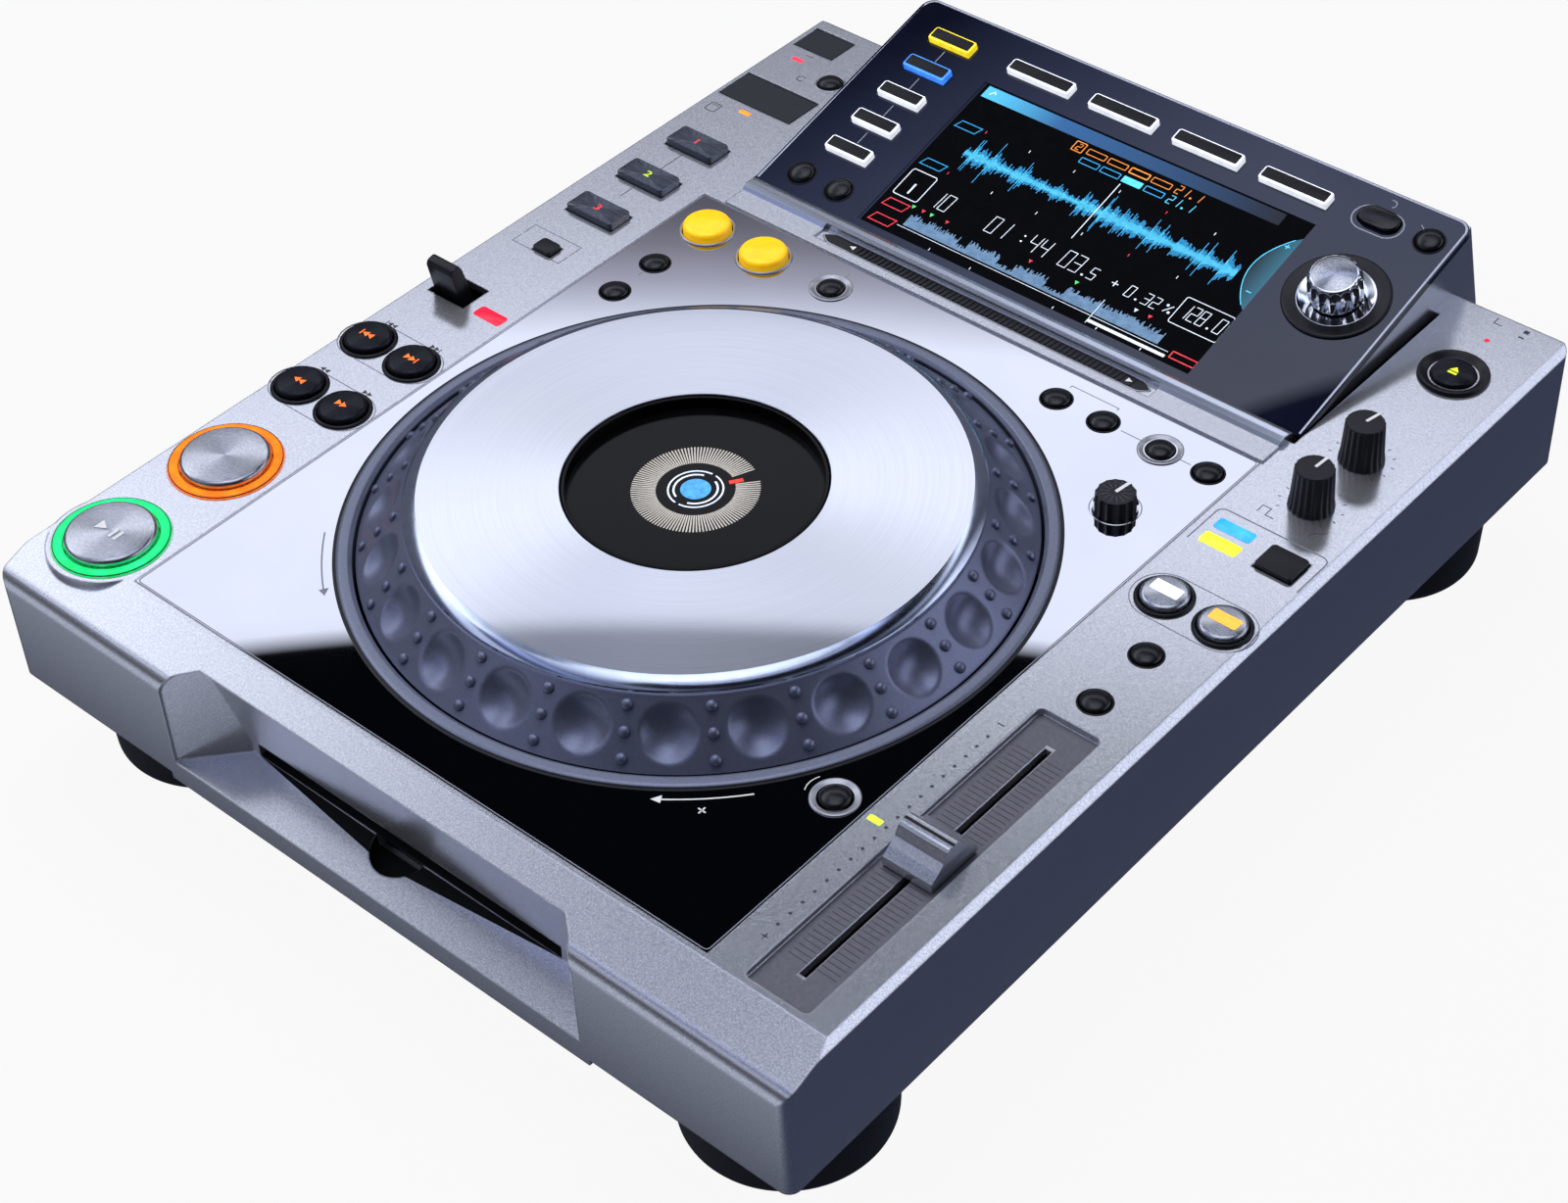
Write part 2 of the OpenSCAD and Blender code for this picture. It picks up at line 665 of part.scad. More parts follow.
// Wedge-shaped housing with the seat of the touch strip in front of it
function under_panel(d) = panel_z - panel_t / cos(tilt) + (d - panel_front) * tan(tilt);
ridge_d = panel_front + panel_l * cos(tilt) + panel_t * sin(tilt) + 0.6;
housing_back = body_d + overhang;
bar_front = plate_front + plate_l + 0.4;
bar_h = 0.8;
roll_h = 2.6;
roof_t = 2.5;
hollow_front = panel_front + 7;
housing_w = panel_w - 2 * panel_rim;
housing_side = [
    [bar_front, deck_z], [bar_front, deck_z + bar_h], [panel_front - 9, deck_z + bar_h],
    [panel_front - 7.4, deck_z + roll_h - 0.7], [panel_front - 5.8, deck_z + roll_h],
    [panel_front - 3.6, deck_z + roll_h], [panel_front - 1.8, deck_z + roll_h - 0.7],
    [panel_front - 0.3, deck_z + 0.4], [panel_front - 0.3, under_panel(panel_front - 0.3)],
    [ridge_d, under_panel(ridge_d)], [housing_back, housing_foot_z], [body_d + seat_gap, housing_foot_z],
    [body_d + seat_gap, deck_z], [window_back - seat_gap, deck_z], [window_back - seat_gap, deck_z - wall],
    [window_front + seat_gap, deck_z - wall], [window_front + seat_gap, deck_z]
];
housing_hollow = [
    [hollow_front, deck_z - wall - 1], [hollow_front, under_panel(hollow_front) - roof_t],
    [ridge_d - roof_t, under_panel(ridge_d - roof_t) - roof_t],
    [housing_back - 1.3 * housing_wall, housing_foot_z + housing_wall],
    [body_d + seat_gap + housing_wall, housing_foot_z + housing_wall],
    [body_d + seat_gap + housing_wall, deck_z + housing_wall],
    [window_back - seat_gap - housing_wall, deck_z + housing_wall],
    [window_back - seat_gap - housing_wall, deck_z - wall - 1]
];
strip_x = panel_x - 4.6;
strip_d = 7;
module display_housing() color("#8a8f99") difference() {
    translate([panel_x, front_y, 0]) along_x(housing_w) polygon(housing_side);
    translate([panel_x, front_y, 0]) along_x(housing_w - 2 * housing_wall) polygon(housing_hollow);
    // opening under the panel, room for the keys at its right-hand edge, seat of the touch strip
    on_panel(0, panel_l / 2) translate([0, 0, -panel_t - 8]) block(housing_w - 11, panel_l - 5, 12);
    on_panel(tag_at[0], tag_at[1]) translate([0, 0, -panel_t - 5]) {
        cylinder(r = small_r + flange_lip + 0.7, h = 7);
    }
    from_front(strip_x, bar_front + 7.2, deck_z - 0.2) block(strip_w, strip_d, 5);
}

// Panel with the colour screen bonded into its window
lcd_t = 6;
module key_holes_panel() {
    for (i = [0 : 4]) translate([source_u, source_v - i * source_pitch, 0]) {
        block(source_w + 2 * key_gap, source_d + 2 * key_gap, 20);
    }
    for (i = [0 : 3]) translate([browse_u + i * browse_pitch, browse_v, 0]) {
        block(browse_w + 2 * key_gap, source_d + 2 * key_gap, 20);
    }
    for (p = [tag_at, quantize_at, time_mode_at]) translate([p[0], p[1], 0]) {
        cylinder(r = small_r + key_gap, h = 20);
    }
    translate([back_at[0], back_at[1], 0]) linear_extrude(20) {
        rounded(back_w + 2 * key_gap, back_d + 2 * key_gap, back_d / 2);
    }
    translate([selector_u, selector_v, 0]) cylinder(r = shaft_r + 1.5, h = 20);
}
back_w = 15;
back_d = 7.6;
module display_panel() color("#15171c") {
    difference() {
        on_panel(0, 0) translate([0, 0, -panel_t]) linear_extrude(panel_t) difference() {
            translate([0, panel_l / 2]) union() {
                rounded(panel_w, panel_l, panel_r);
                translate([-panel_w / 2, -panel_l / 2]) square([panel_w, panel_l / 2]);
            }
            translate([lcd_u, lcd_v]) square([lcd_w, lcd_h], center = true);
        }
        on_panel(0, 0) translate([0, 0, -10]) key_holes_panel();
    }
    on_panel(lcd_u, lcd_v) translate([0, 0, -lcd_t]) block(lcd_w - 0.2, lcd_h - 0.2, lcd_t - 0.2);
}

// Keys. Each is a cap, a flange under the surface and a stem that meets its switch.
module key_body(h, t) {
    low = -t - flange_drop - flange_t;
    translate([0, 0, low]) linear_extrude(h - low) children(0);
    translate([0, 0, low]) linear_extrude(flange_t) children(1);
    translate([0, 0, -stem_len]) cylinder(r = stem_r, h = stem_len + low + eps);
}
module round_key(r, h, t) {
    key_body(h, t) {
        circle(r);
        circle(r + flange_lip);
    }
}
module rect_key(w, d, h, t) {
    key_body(h, t) {
        square([w, d], center = true);
        square([w + 2 * flange_lip, d + 2 * flange_lip], center = true);
    }
}
module deck_key(at, r, h, t = wall) {
    on_deck(at[0], at[1]) round_key(r, h, t);
}
module big_key(at) {
    on_deck(at[0], at[1]) {
        translate([0, 0, -wall]) cylinder(r = play_r, h = wall + play_h - 0.8);
        translate([0, 0, play_h - 0.8 - eps]) cylinder(r1 = play_r, r2 = play_r - 0.8, h = 0.8);
        translate([0, 0, -wall - flange_drop - 2]) cylinder(r = play_r + 3, h = 2);
        translate([0, 0, -stem_len]) cylinder(r = stem_r + 1, h = stem_len - wall + eps);
    }
}
module play_button() color("lightgray") big_key(play_at);
module cue_button() color("lightgray") big_key(cue_at);
module search_back() color("#3a3d42") deck_key(search_back_at, search_r, search_h);
module search_forward() color("#3a3d42") deck_key(search_forward_at, search_r, search_h);
module track_back() color("#3a3d42") deck_key(track_back_at, search_r, search_h);
module track_forward() color("#3a3d42") deck_key(track_forward_at, search_r, search_h);
module hot_key(at) {
    on_deck(at[0], at[1]) rect_key(hot_w, hot_d, search_h, wall);
}
module hot_cue_a() color("#3a3d42") hot_key(hot_a_at);
module hot_cue_b() color("#3a3d42") hot_key(hot_b_at);
module hot_cue_c() color("#3a3d42") hot_key(hot_c_at);
module call_button() color("#3a3d42") on_deck(call_at[0], call_at[1]) rect_key(call_w, 6.2, small_h, wall);
module usb_stop_button() color("#222222") deck_key(usb_stop_at, small_r, small_h);
module loop_in_button() color("gold") deck_key(loop_in_at, loop_r, search_h + 0.8, plate_t);
module loop_out_button() color("gold") deck_key(loop_out_at, loop_r, search_h + 0.8, plate_t);
module reloop_button() color("#222222") deck_key(reloop_at, small_r, small_h, plate_t);
module loop_mode_button() color("#222222") deck_key(loop_mode_at, small_r, small_h, plate_t);
module slip_button() color("#222222") deck_key(slip_at, small_r, small_h, plate_t);
module call_previous_button() color("#222222") deck_key(call_previous_at, small_r, small_h, plate_t);
module call_next_button() color("#222222") deck_key(call_next_at, small_r, small_h, plate_t);
module delete_button() color("#222222") deck_key(delete_at, small_r, small_h, plate_t);
module memory_button() color("#222222") deck_key(memory_at, small_r, small_h, plate_t);
module tempo_reset_button() color("#222222") deck_key(reset_at, small_r, small_h, plate_t);
module eject_button() color("#222222") deck_key(eject_at, eject_r, small_h, wall);
module jog_mode_button() color("#222222") on_deck(mode_at[0], mode_at[1]) {
    rect_key(mode_w, mode_d, small_h, wall);
}
module sync_button() color("#3a3d42") deck_key(sync_at, sync_r, search_h);
module master_button() color("#3a3d42") deck_key(master_at, sync_r, search_h);
module tempo_range_button() color("#222222") deck_key(range_at, small_r, small_h);
module master_tempo_button() color("#222222") deck_key(tempo_at, small_r, small_h);

module source_key(i) {
    on_panel(source_u, source_v - i * source_pitch) rect_key(source_w, source_d, panel_key_h, panel_t);
}
module browse_key(i) {
    on_panel(browse_u + i * browse_pitch, browse_v) rect_key(browse_w, source_d, panel_key_h, panel_t);
}
module panel_key(at) {
    on_panel(at[0], at[1]) round_key(small_r, small_h, panel_t);
}
module source_button_1() color("#e8d000") source_key(0);
module source_button_2() color("#1060e0") source_key(1);
module source_button_3() color("white") source_key(2);
module source_button_4() color("white") source_key(3);
module source_button_5() color("white") source_key(4);
module browse_button_1() color("white") browse_key(0);
module browse_button_2() color("white") browse_key(1);
module browse_button_3() color("white") browse_key(2);
module browse_button_4() color("white") browse_key(3);
module back_button() color("#222222") on_panel(back_at[0], back_at[1]) key_body(small_h, panel_t) {
    rounded(back_w, back_d, back_d / 2 - 0.1);
    rounded(back_w + 2 * flange_lip, back_d + 2 * flange_lip, back_d / 2);
}
module tag_button() color("#222222") panel_key(tag_at);
module quantize_button() color("#222222") panel_key(quantize_at);
module time_mode_button() color("#222222") panel_key(time_mode_at);

// Knobs on potentiometer shafts
module knob_body(r, h) {
    translate([0, 0, 0.4]) cylinder(r1 = r + knob_flare, r2 = r, h = h - 0.4);
    translate([0, 0, -shaft_drop]) cylinder(r = shaft_r, h = shaft_drop + 1);
}
module touch_knob() color("#2a2c30") on_deck(knob_back_at[0], knob_back_at[1]) knob_body(knob_r, knob_h);
module release_knob() color("#2a2c30") on_deck(knob_front_at[0], knob_front_at[1]) {
    knob_body(knob_r, knob_h);
}
module jog_adjust_knob() color("#2a2c30") on_deck(adjust_at[0], adjust_at[1]) {
    knob_body(adjust_r, adjust_h);
}

// Selector: the encoder's shaft turns, and the knob on it turns with it and can be pushed
selector_play = 0.6;
selector_low = selector_play + 0.3;
module selector_shaft() color("silver") on_panel(selector_u, selector_v) {
    translate([0, 0, -shaft_drop - 1]) cylinder(r = shaft_r, h = shaft_drop + 7);
}
module selector_knob() color("gainsboro") on_panel(selector_u, selector_v) difference() {
    union() {
        translate([0, 0, selector_low]) cylinder(r = selector_r, h = selector_h - selector_low - 1.4);
        translate([0, 0, selector_h - 1.4 - eps]) cylinder(r1 = selector_r, r2 = selector_top_r, h = 1.4);
    }
    cylinder(r = shaft_r + run_gap, h = 6 + selector_play + 0.2);
}

// Fader: cap with a saddle-shaped top on a blade that rides in the slot
blade_low = 9;
module tempo_fader() color("silver") on_deck(fader_at[0], fader_at[1]) {
    cap_bottom = 0.4 - trough_d;
    saddle = [
        [-cap_l / 2, cap_bottom], [cap_l / 2, cap_bottom], [cap_l / 2, cap_bottom + 3], [7, cap_h * 0.36],
        [4.4, cap_h * 0.62], [3, cap_h - 0.8], [2, cap_h], [-2, cap_h], [-3, cap_h - 0.8],
        [-4.4, cap_h * 0.62], [-7, cap_h * 0.36], [-cap_l / 2, cap_bottom + 3]
    ];
    along_x(cap_w) polygon(saddle);
    translate([0, 0, -blade_low]) block(fader_slot - 2 * key_gap, 4, blade_low + cap_bottom + eps);
}
module fader_rail() {
    on_deck(fader_at[0], fader_at[1]) {
        translate([0, 0, -board_drop]) block(14, trough_len, board_drop - blade_low - seat_gap);
    }
}

// Direction lever, leaning forward in its reverse position, on a pin held by two ears
lever_pivot = 7;
lever_x = lever_slot_x - 1.8;
lever_pin_r = 1.5;
module lever_frame() {
    on_deck(lever_x, lever_d + 0.8) translate([0, 0, -lever_pivot]) children();
}
module direction_lever() color("#26282c") lever_frame() rotate([lever_lean, 0, 0]) difference() {
    union() {
        along_x(lever_w) polygon([
            [-2.6, 0], [2.6, 0], [3, lever_pivot], [2.6, lever_pivot + lever_h - 1],
            [1.6, lever_pivot + lever_h], [-1.6, lever_pivot + lever_h], [-2.6, lever_pivot + lever_h - 1],
            [-3, lever_pivot]
        ]);
        rotate([0, 90, 0]) cylinder(r = 3, h = lever_w, center = true);
    }
    rotate([0, 90, 0]) cylinder(r = lever_pin_r + run_gap, h = lever_w + 2, center = true);
}
module lever_bracket() {
    ear_h = board_drop - lever_pivot;
    lever_frame() {
        rotate([0, 90, 0]) cylinder(r = lever_pin_r, h = lever_w + 6, center = true);
        for (s = [-1, 1]) translate([s * (lever_w / 2 + 2), 0, -ear_h]) block(3, 6, ear_h + 3);
    }
}

// Doors over the card slot and the USB port, each hinged on a pin at its back edge
module flap(at, w, d) {
    on_deck(at[0], at[1]) {
        translate([-w / 2, -d / 2, -door_t]) cube([w, d - door_t / 2, door_t]);
        translate([0, d / 2 - door_t / 2, -door_t / 2]) rotate([0, 90, 0]) {
            cylinder(r = door_t / 2, h = w, center = true);
        }
        door_pin(w, d, door_pin_r);
    }
}
module card_door() color("#2e3136") flap(door_at, door_w, door_d);
module usb_cover() color("#2e3136") flap(usb_at, usb_w, usb_d);

// Push button of the mains switch in the jack panel
power_r = 4.5;
power_x = body_w / 2 - 20;
module power_button() color("#222222") from_front(power_x, body_d, jack_z) rotate([-90, 0, 0]) {
    translate([0, 0, -wall - 1.4]) cylinder(r = power_r, h = wall + 4.4);
    translate([0, 0, -wall - 2.6]) cylinder(r = power_r + 1.2, h = 1.2 + eps);
    translate([0, 0, -wall - 6]) cylinder(r = stem_r, h = 4);
}

// Jacks: [x, radius] of the round ones and [x, width, height] of the square ones
jack_z = 45;
rca_r = 4.15;
rca_body_r = 6;
rca_x = [-60, -44, -26];
mini_x = -8;
mini_r = 3.6;
jack_holes = concat(
    [for (x = rca_x) [x, rca_body_r]], [[mini_x, mini_r], [power_x, power_r + key_gap - seat_gap]]
);
port_holes = [[14, 16, 13.5], [36, 12, 11], [92, 27.5, 20]];
socket_d = 14;
module socket(p) {
    from_front(p[0], body_d - socket_d / 2, jack_z - p[2] / 2) difference() {
        block(p[1], socket_d, p[2]);
        translate([0, 5, 1.5]) block(p[1] - 3, socket_d, p[2] - 3);
    }
}
module usb_tongue(p) {
    from_front(p[0], body_d - 6.5, jack_z - 1.7) block(5.6, 11, 3.4);
}
module rca_jack(x) {
    from_front(x, body_d, jack_z) rotate([-90, 0, 0]) {
        translate([0, 0, -wall - 8]) cylinder(r = rca_body_r, h = wall + 8);
        translate([0, 0, -eps]) difference() {
            cylinder(r = rca_r, h = 8.5);
            translate([0, 0, 1]) cylinder(r = 1.6, h = 8);
        }
    }
}
module mini_jack(x) {
    from_front(x, body_d, jack_z) rotate([-90, 0, 0]) translate([0, 0, -wall - 9]) difference() {
        cylinder(r = mini_r, h = wall + 10);
        translate([0, 0, 1]) cylinder(r = 1.8, h = wall + 10);
    }
}

// Disc drive made of a floor, two sides, a back block and a cover, with room for the disc between them
drive_w = 148;
drive_l = 158;
drive_front = tub_d + seat_gap;
drive_roof = 4;
floor_z = skirt_z + pan_t;
module disc_drive() {
    side_w = (drive_w - slot_w) / 2;
    middle = drive_front + drive_l / 2;
    from_front(recess_x, middle, floor_z + seat) block(drive_w, drive_l, slot_z - floor_z - 2 * seat);
    for (s = [-1, 1]) from_front(recess_x + s * (drive_w - side_w) / 2, middle, slot_z) {
        block(side_w, drive_l, slot_h);
    }
    from_front(recess_x, drive_front + drive_l - 12, slot_z) block(slot_w - 2 * seat, 24, slot_h);
    from_front(recess_x, middle, slot_z + slot_h + seat) block(drive_w, drive_l, drive_roof);
}

// Pillar on the pan, or on z0 where it stands on something else
module pillar(x, d, z1, z0 = floor_z, r = 3) {
    from_front(x, d, z0 + seat) cylinder(r = r, h = z1 - z0 - 2 * seat);
}

// Base plate that carries the wheel's post
module wheel_base() {
    base_t = 2;
    base_z = deck_z + post_low - base_t;
    base_w = drive_w + 42;
    base_l = 90;
    edge = 5;
    from_front(jog_x, jog_front, base_z) block(base_w, base_l, base_t - seat);
    for (sx = [-1, 1], sy = [-1, 1]) {
        pillar(jog_x + sx * (base_w / 2 - edge), jog_front + sy * (base_l / 2 - edge), base_z, r = 4);
    }
}
board_z = -board_drop - board_t;
strip_board_w = 36;
strip_board_x = body_w / 2 - wall - 1 - strip_board_w / 2;
strip_board_front = 24;
strip_board_back = body_d - wall - 4;
middle_board_d = plate_row - 24;
main_board_x = -28;
main_board_d = body_d - 59;
main_board_z = jack_z - port_holes[0][2] / 2;
supply_x = 84;
supply_d = body_d - 67;
supply_w = 58;
supply_l = 90;
supply_h = 27;
module board_pillars() {
    for (s = [-1, 1]) {
        for (d = [strip_board_front + 36, strip_board_back - 50]) {
            pillar(s * strip_board_x, d, deck_z + board_z);
        }
        for (d = [-27, 27]) pillar(jog_x + s * 100, middle_board_d + d, deck_z + board_z);
    }
    pillar(reset_at[0], reset_at[1], deck_z + board_z);
    for (sx = [-1, 1], sy = [-1, 1]) {
        pillar(main_board_x + sx * 70, main_board_d + sy * 46, main_board_z - board_t);
    }
}

// Steel pan with the jack panel, the jacks, the disc drive, the wheel's base plate and the pillars
module chassis() color("dimgray") {
    pan();
    for (x = rca_x) rca_jack(x);
    mini_jack(mini_x);
    for (p = port_holes) socket(p);
    usb_tongue(port_holes[1]);
    disc_drive();
    wheel_base();
    board_pillars();
}

// Switches and potentiometers on the boards
module deck_switches() {
    for (k = concat([for (k = round_keys) k[0]], [for (k = rect_keys) k[0]], [for (k = plate_keys) k[0]])) {
        on_deck(k[0], k[1]) translate([0, 0, -board_drop]) block(switch_w, switch_w, switch_h);
    }
}
module pot(at) {
    on_deck(at[0], at[1]) translate([0, 0, -board_drop]) pot_body();
}
module pot_body() {
    difference() {
        cylinder(r = pot_r, h = pot_h + 4);
        translate([0, 0, 1]) cylinder(r = shaft_r + run_gap, h = pot_h + 10);
    }
}

// Boards under the controls: one in each side strip, one behind the wheel and one for tempo reset
module deck_boards() {
    for (s = [-1, 1]) {
        on_deck(s * strip_board_x, (strip_board_front + strip_board_back) / 2) translate([0, 0, board_z]) {
            block(strip_board_w, strip_board_back - strip_board_front, board_t);
        }
    }
    on_deck(jog_x, middle_board_d) translate([0, 0, board_z]) block(plate_w - 8, 66, board_t);
    on_deck(reset_at[0], reset_at[1]) translate([0, 0, board_z]) block(18, 18, board_t);
}

// Main board, power supply and the mains switch's body
module back_boards() {
    from_front(main_board_x, main_board_d, main_board_z - board_t) block(152, 104, board_t);
    from_front(supply_x, supply_d, floor_z) block(supply_w, supply_l, supply_h);
    from_front(power_x, body_d - wall - 16, floor_z) block(14, 16, jack_z + 7 - floor_z);
}

// Board under the display panel with its switches and the encoder
module panel_board() {
    on_panel(0, panel_l / 2) translate([0, 0, -board_drop - board_t]) {
        block(panel_w - 12, panel_l - 10, board_t);
    }
    for (i = [0 : 4]) panel_switch([source_u, source_v - i * source_pitch]);
    for (i = [0 : 3]) panel_switch([browse_u + i * browse_pitch, browse_v]);
    for (p = [back_at, tag_at, quantize_at, time_mode_at]) panel_switch(p);
    on_panel(selector_u, selector_v) translate([0, 0, -board_drop]) pot_body();
    for (v = [15, 70]) {
        panel_pillar([-panel_w / 2 + 25.75, v, main_board_z]);
        panel_pillar([panel_w / 2 - 28.75, v, floor_z + supply_h]);
    }
}
module panel_switch(at) {
    on_panel(at[0], at[1]) translate([0, 0, -board_drop]) block(switch_w, switch_w, switch_h);
}
module panel_pillar(p) {
    drop = board_drop + board_t / 2;
    top_z = panel_z + p[1] * sin(tilt) - drop * cos(tilt);
    from_front(panel_x + p[0], panel_front + p[1] * cos(tilt) + drop * sin(tilt), p[2]) {
        cylinder(r = 3, h = top_z - p[2]);
    }
}
module card_sockets() {
    for (p = [[door_at, card_port], [usb_at, usb_port]]) on_deck(p[0][0], p[0][1]) {
        translate([0, 0, -board_drop]) difference() {
            block(p[1][0] + 2, p[1][1] + 2, board_drop - wall - seat);
            translate([0, 0, 2]) block(p[1][0], p[1][1], board_drop);
        }
    }
    on_deck(usb_at[0], usb_at[1]) translate([0, 0, -board_drop]) {
        block(usb_port[0] - 1, 2.2, board_drop - wall);
    }
}

// Boards, switches, potentiometers, sockets and light rings, all sealed inside the body
module internals() color("darkolivegreen") {
    deck_boards();
    deck_switches();
    back_boards();
    panel_board();
    fader_rail();
    lever_bracket();
    card_sockets();
    pot(knob_front_at);
    pot(knob_back_at);
    pot(adjust_at);
    for (p = [play_at, cue_at]) on_deck(p[0], p[1]) translate([0, 0, -wall + seat_gap]) {
        ring(ring_r - seat_gap, play_r + key_gap, wall + 0.4);
    }
}

top_cover();
chassis();
feet();
center_plate();
jog_display();
display_housing();
display_panel();
internals();
jog_dial();
jog_plate();
play_button();
cue_button();
search_back();
search_forward();
track_back();
track_forward();
hot_cue_a();
hot_cue_b();
hot_cue_c();
call_button();
usb_stop_button();
loop_in_button();
loop_out_button();
reloop_button();
loop_mode_button();
slip_button();
call_previous_button();
call_next_button();
delete_button();
memory_button();
tempo_reset_button();
eject_button();
jog_mode_button();
sync_button();
master_button();
tempo_range_button();
master_tempo_button();
source_button_1();
source_button_2();
source_button_3();
source_button_4();
source_button_5();
browse_button_1();
browse_button_2();
browse_button_3();
browse_button_4();
back_button();
tag_button();
quantize_button();
time_mode_button();
power_button();
selector_shaft();
selector_knob();
touch_knob();
release_knob();
jog_adjust_knob();
tempo_fader();
direction_lever();
card_door();
usb_cover();
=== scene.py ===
import bpy, bmesh, json, random
from math import atan2, cos, dist, exp, hypot, pi, radians, sin, sqrt, tan, tau
from mathutils import Matrix, Vector

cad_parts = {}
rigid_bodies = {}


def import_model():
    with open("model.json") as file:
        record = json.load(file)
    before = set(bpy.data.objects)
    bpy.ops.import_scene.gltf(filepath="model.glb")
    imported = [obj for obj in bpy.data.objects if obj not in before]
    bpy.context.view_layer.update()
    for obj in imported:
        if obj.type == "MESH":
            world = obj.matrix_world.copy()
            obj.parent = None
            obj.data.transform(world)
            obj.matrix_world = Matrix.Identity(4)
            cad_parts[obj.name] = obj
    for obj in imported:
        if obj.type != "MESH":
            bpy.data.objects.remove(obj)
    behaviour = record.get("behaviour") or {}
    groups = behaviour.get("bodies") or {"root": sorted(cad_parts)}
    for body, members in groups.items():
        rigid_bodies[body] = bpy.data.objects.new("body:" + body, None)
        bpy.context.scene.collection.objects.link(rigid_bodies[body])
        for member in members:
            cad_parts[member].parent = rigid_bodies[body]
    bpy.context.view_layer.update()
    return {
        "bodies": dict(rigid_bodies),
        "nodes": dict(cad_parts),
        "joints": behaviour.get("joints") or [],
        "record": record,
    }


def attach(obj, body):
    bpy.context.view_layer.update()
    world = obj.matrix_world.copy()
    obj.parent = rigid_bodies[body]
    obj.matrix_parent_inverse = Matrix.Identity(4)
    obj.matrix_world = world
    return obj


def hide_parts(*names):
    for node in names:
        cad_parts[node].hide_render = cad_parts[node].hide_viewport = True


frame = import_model()
nodes = frame["nodes"]

# Camera: a long lens over the player's front right-hand corner, rolled a little, with the optical axis
# beside the middle of the picture.
azimuth, elevation, roll = (radians(a) for a in (41.972, 42.485, -2.196))
back = Vector((sin(azimuth) * cos(elevation), -cos(azimuth) * cos(elevation), sin(elevation)))
across = Vector((cos(azimuth), sin(azimuth), 0))
upward = back.cross(across)
right = across * cos(roll) + upward * sin(roll)
top = upward * cos(roll) - across * sin(roll)
lens = bpy.data.cameras.new("camera")
lens.sensor_width, lens.lens = 36, 69.50
lens.shift_x, lens.shift_y = -0.02467, -0.00912
lens.clip_start, lens.clip_end = 0.05, 40
camera = bpy.data.objects.new("camera", lens)
bpy.context.collection.objects.link(camera)
camera.matrix_world = Matrix.Translation((0.4904, -0.5487, 0.6866)) @ Matrix((right, top, back)).transposed().to_4x4()
bpy.context.scene.camera = camera
bpy.context.scene.view_settings.view_transform = "Standard"


# Studio: a pale floor and a plain white surround. Large soft lamps light the colours from above and from
# the front left. What the gloss mirrors is a softbox with a black card beside it, in the surround.
def linear(code):
    """The linear colour of an sRGB hex value."""
    parts = (int(code[i:i + 2], 16) / 255 for i in (1, 3, 5))
    return tuple(p / 12.92 if p <= 0.04045 else ((p + 0.055) / 1.055) ** 2.4 for p in parts) + (1.0,)


def add(tree, kind, sockets={}, **settings):
    """Adds a node, sets its properties, fills its sockets or links them, and gives its outputs."""
    node = tree.nodes.new("ShaderNode" + kind if tree.type == "SHADER" else kind)
    for key, value in settings.items():
        setattr(node, key, value)
    for key, value in sockets.items():
        if isinstance(value, bpy.types.NodeSocket):
            tree.links.new(value, node.inputs[key])
        else:
            node.inputs[key].default_value = value
    return node.outputs


surround = bpy.data.worlds.new("studio_surround")
surround.use_nodes = True
bpy.context.scene.world = surround
tree = surround.node_tree
tree.nodes.clear()
rays = add(tree, "LightPath")
way = add(tree, "SeparateXYZ", {0: add(tree, "TexCoord")["Generated"]})
climb = add(tree, "Math", {0: way[2]}, operation="ARCSINE")[0]
height = add(tree, "Math", {0: climb, 1: 2 / pi}, operation="MULTIPLY")
leftward = add(tree, "Math", {0: way[0], 1: -1.0}, operation="MULTIPLY")[0]
turn = add(tree, "Math", {0: leftward, 1: way[1]}, operation="ARCTAN2")
tilted = add(tree, "Math", {0: turn[0], 1: 0.07 * 2 / pi, 2: height[0]}, operation="MULTIPLY_ADD")
sides = add(tree, "MapRange", {"Value": turn[0], "From Min": -pi, "From Max": pi})

# tones of the surround by angle over the horizon: floor, softbox, black card, ceiling
dark, light, cool = "#050608", "#F6F8FE", "#CAD4FC"
lower = [(0.0, "#4A4A50"), (35.0, "#47474D"), (38.2, "#5C5A60"), (38.9, "#757378"), (39.7, "#A8A6AE"), (40.8, light)]
upper = [(64.85, "#E4ECFF"), (64.95, dark), (66.2, dark), (68.0, "#D0D4E0"), (90.0, "#E8ECF6")]
card = [(46.05, light), (46.14, dark)]
veil = [(56.0, dark), (57.8, "#8490B8"), (60.5, cool)]
off, on, grey = "#000000", "#FFFFFF", "#C0C4D2"
ring_tones = [(-180, "#6A6E7C"), (-130, "#4A4D58"), (-60, "#3A3D48"), (-20, "#8E92A0"), (5, "#F0F2F8"),
              (100, "#F0F2F8"), (125, "#A4A8B6"), (180, "#6A6E7C")]
ramps = {}
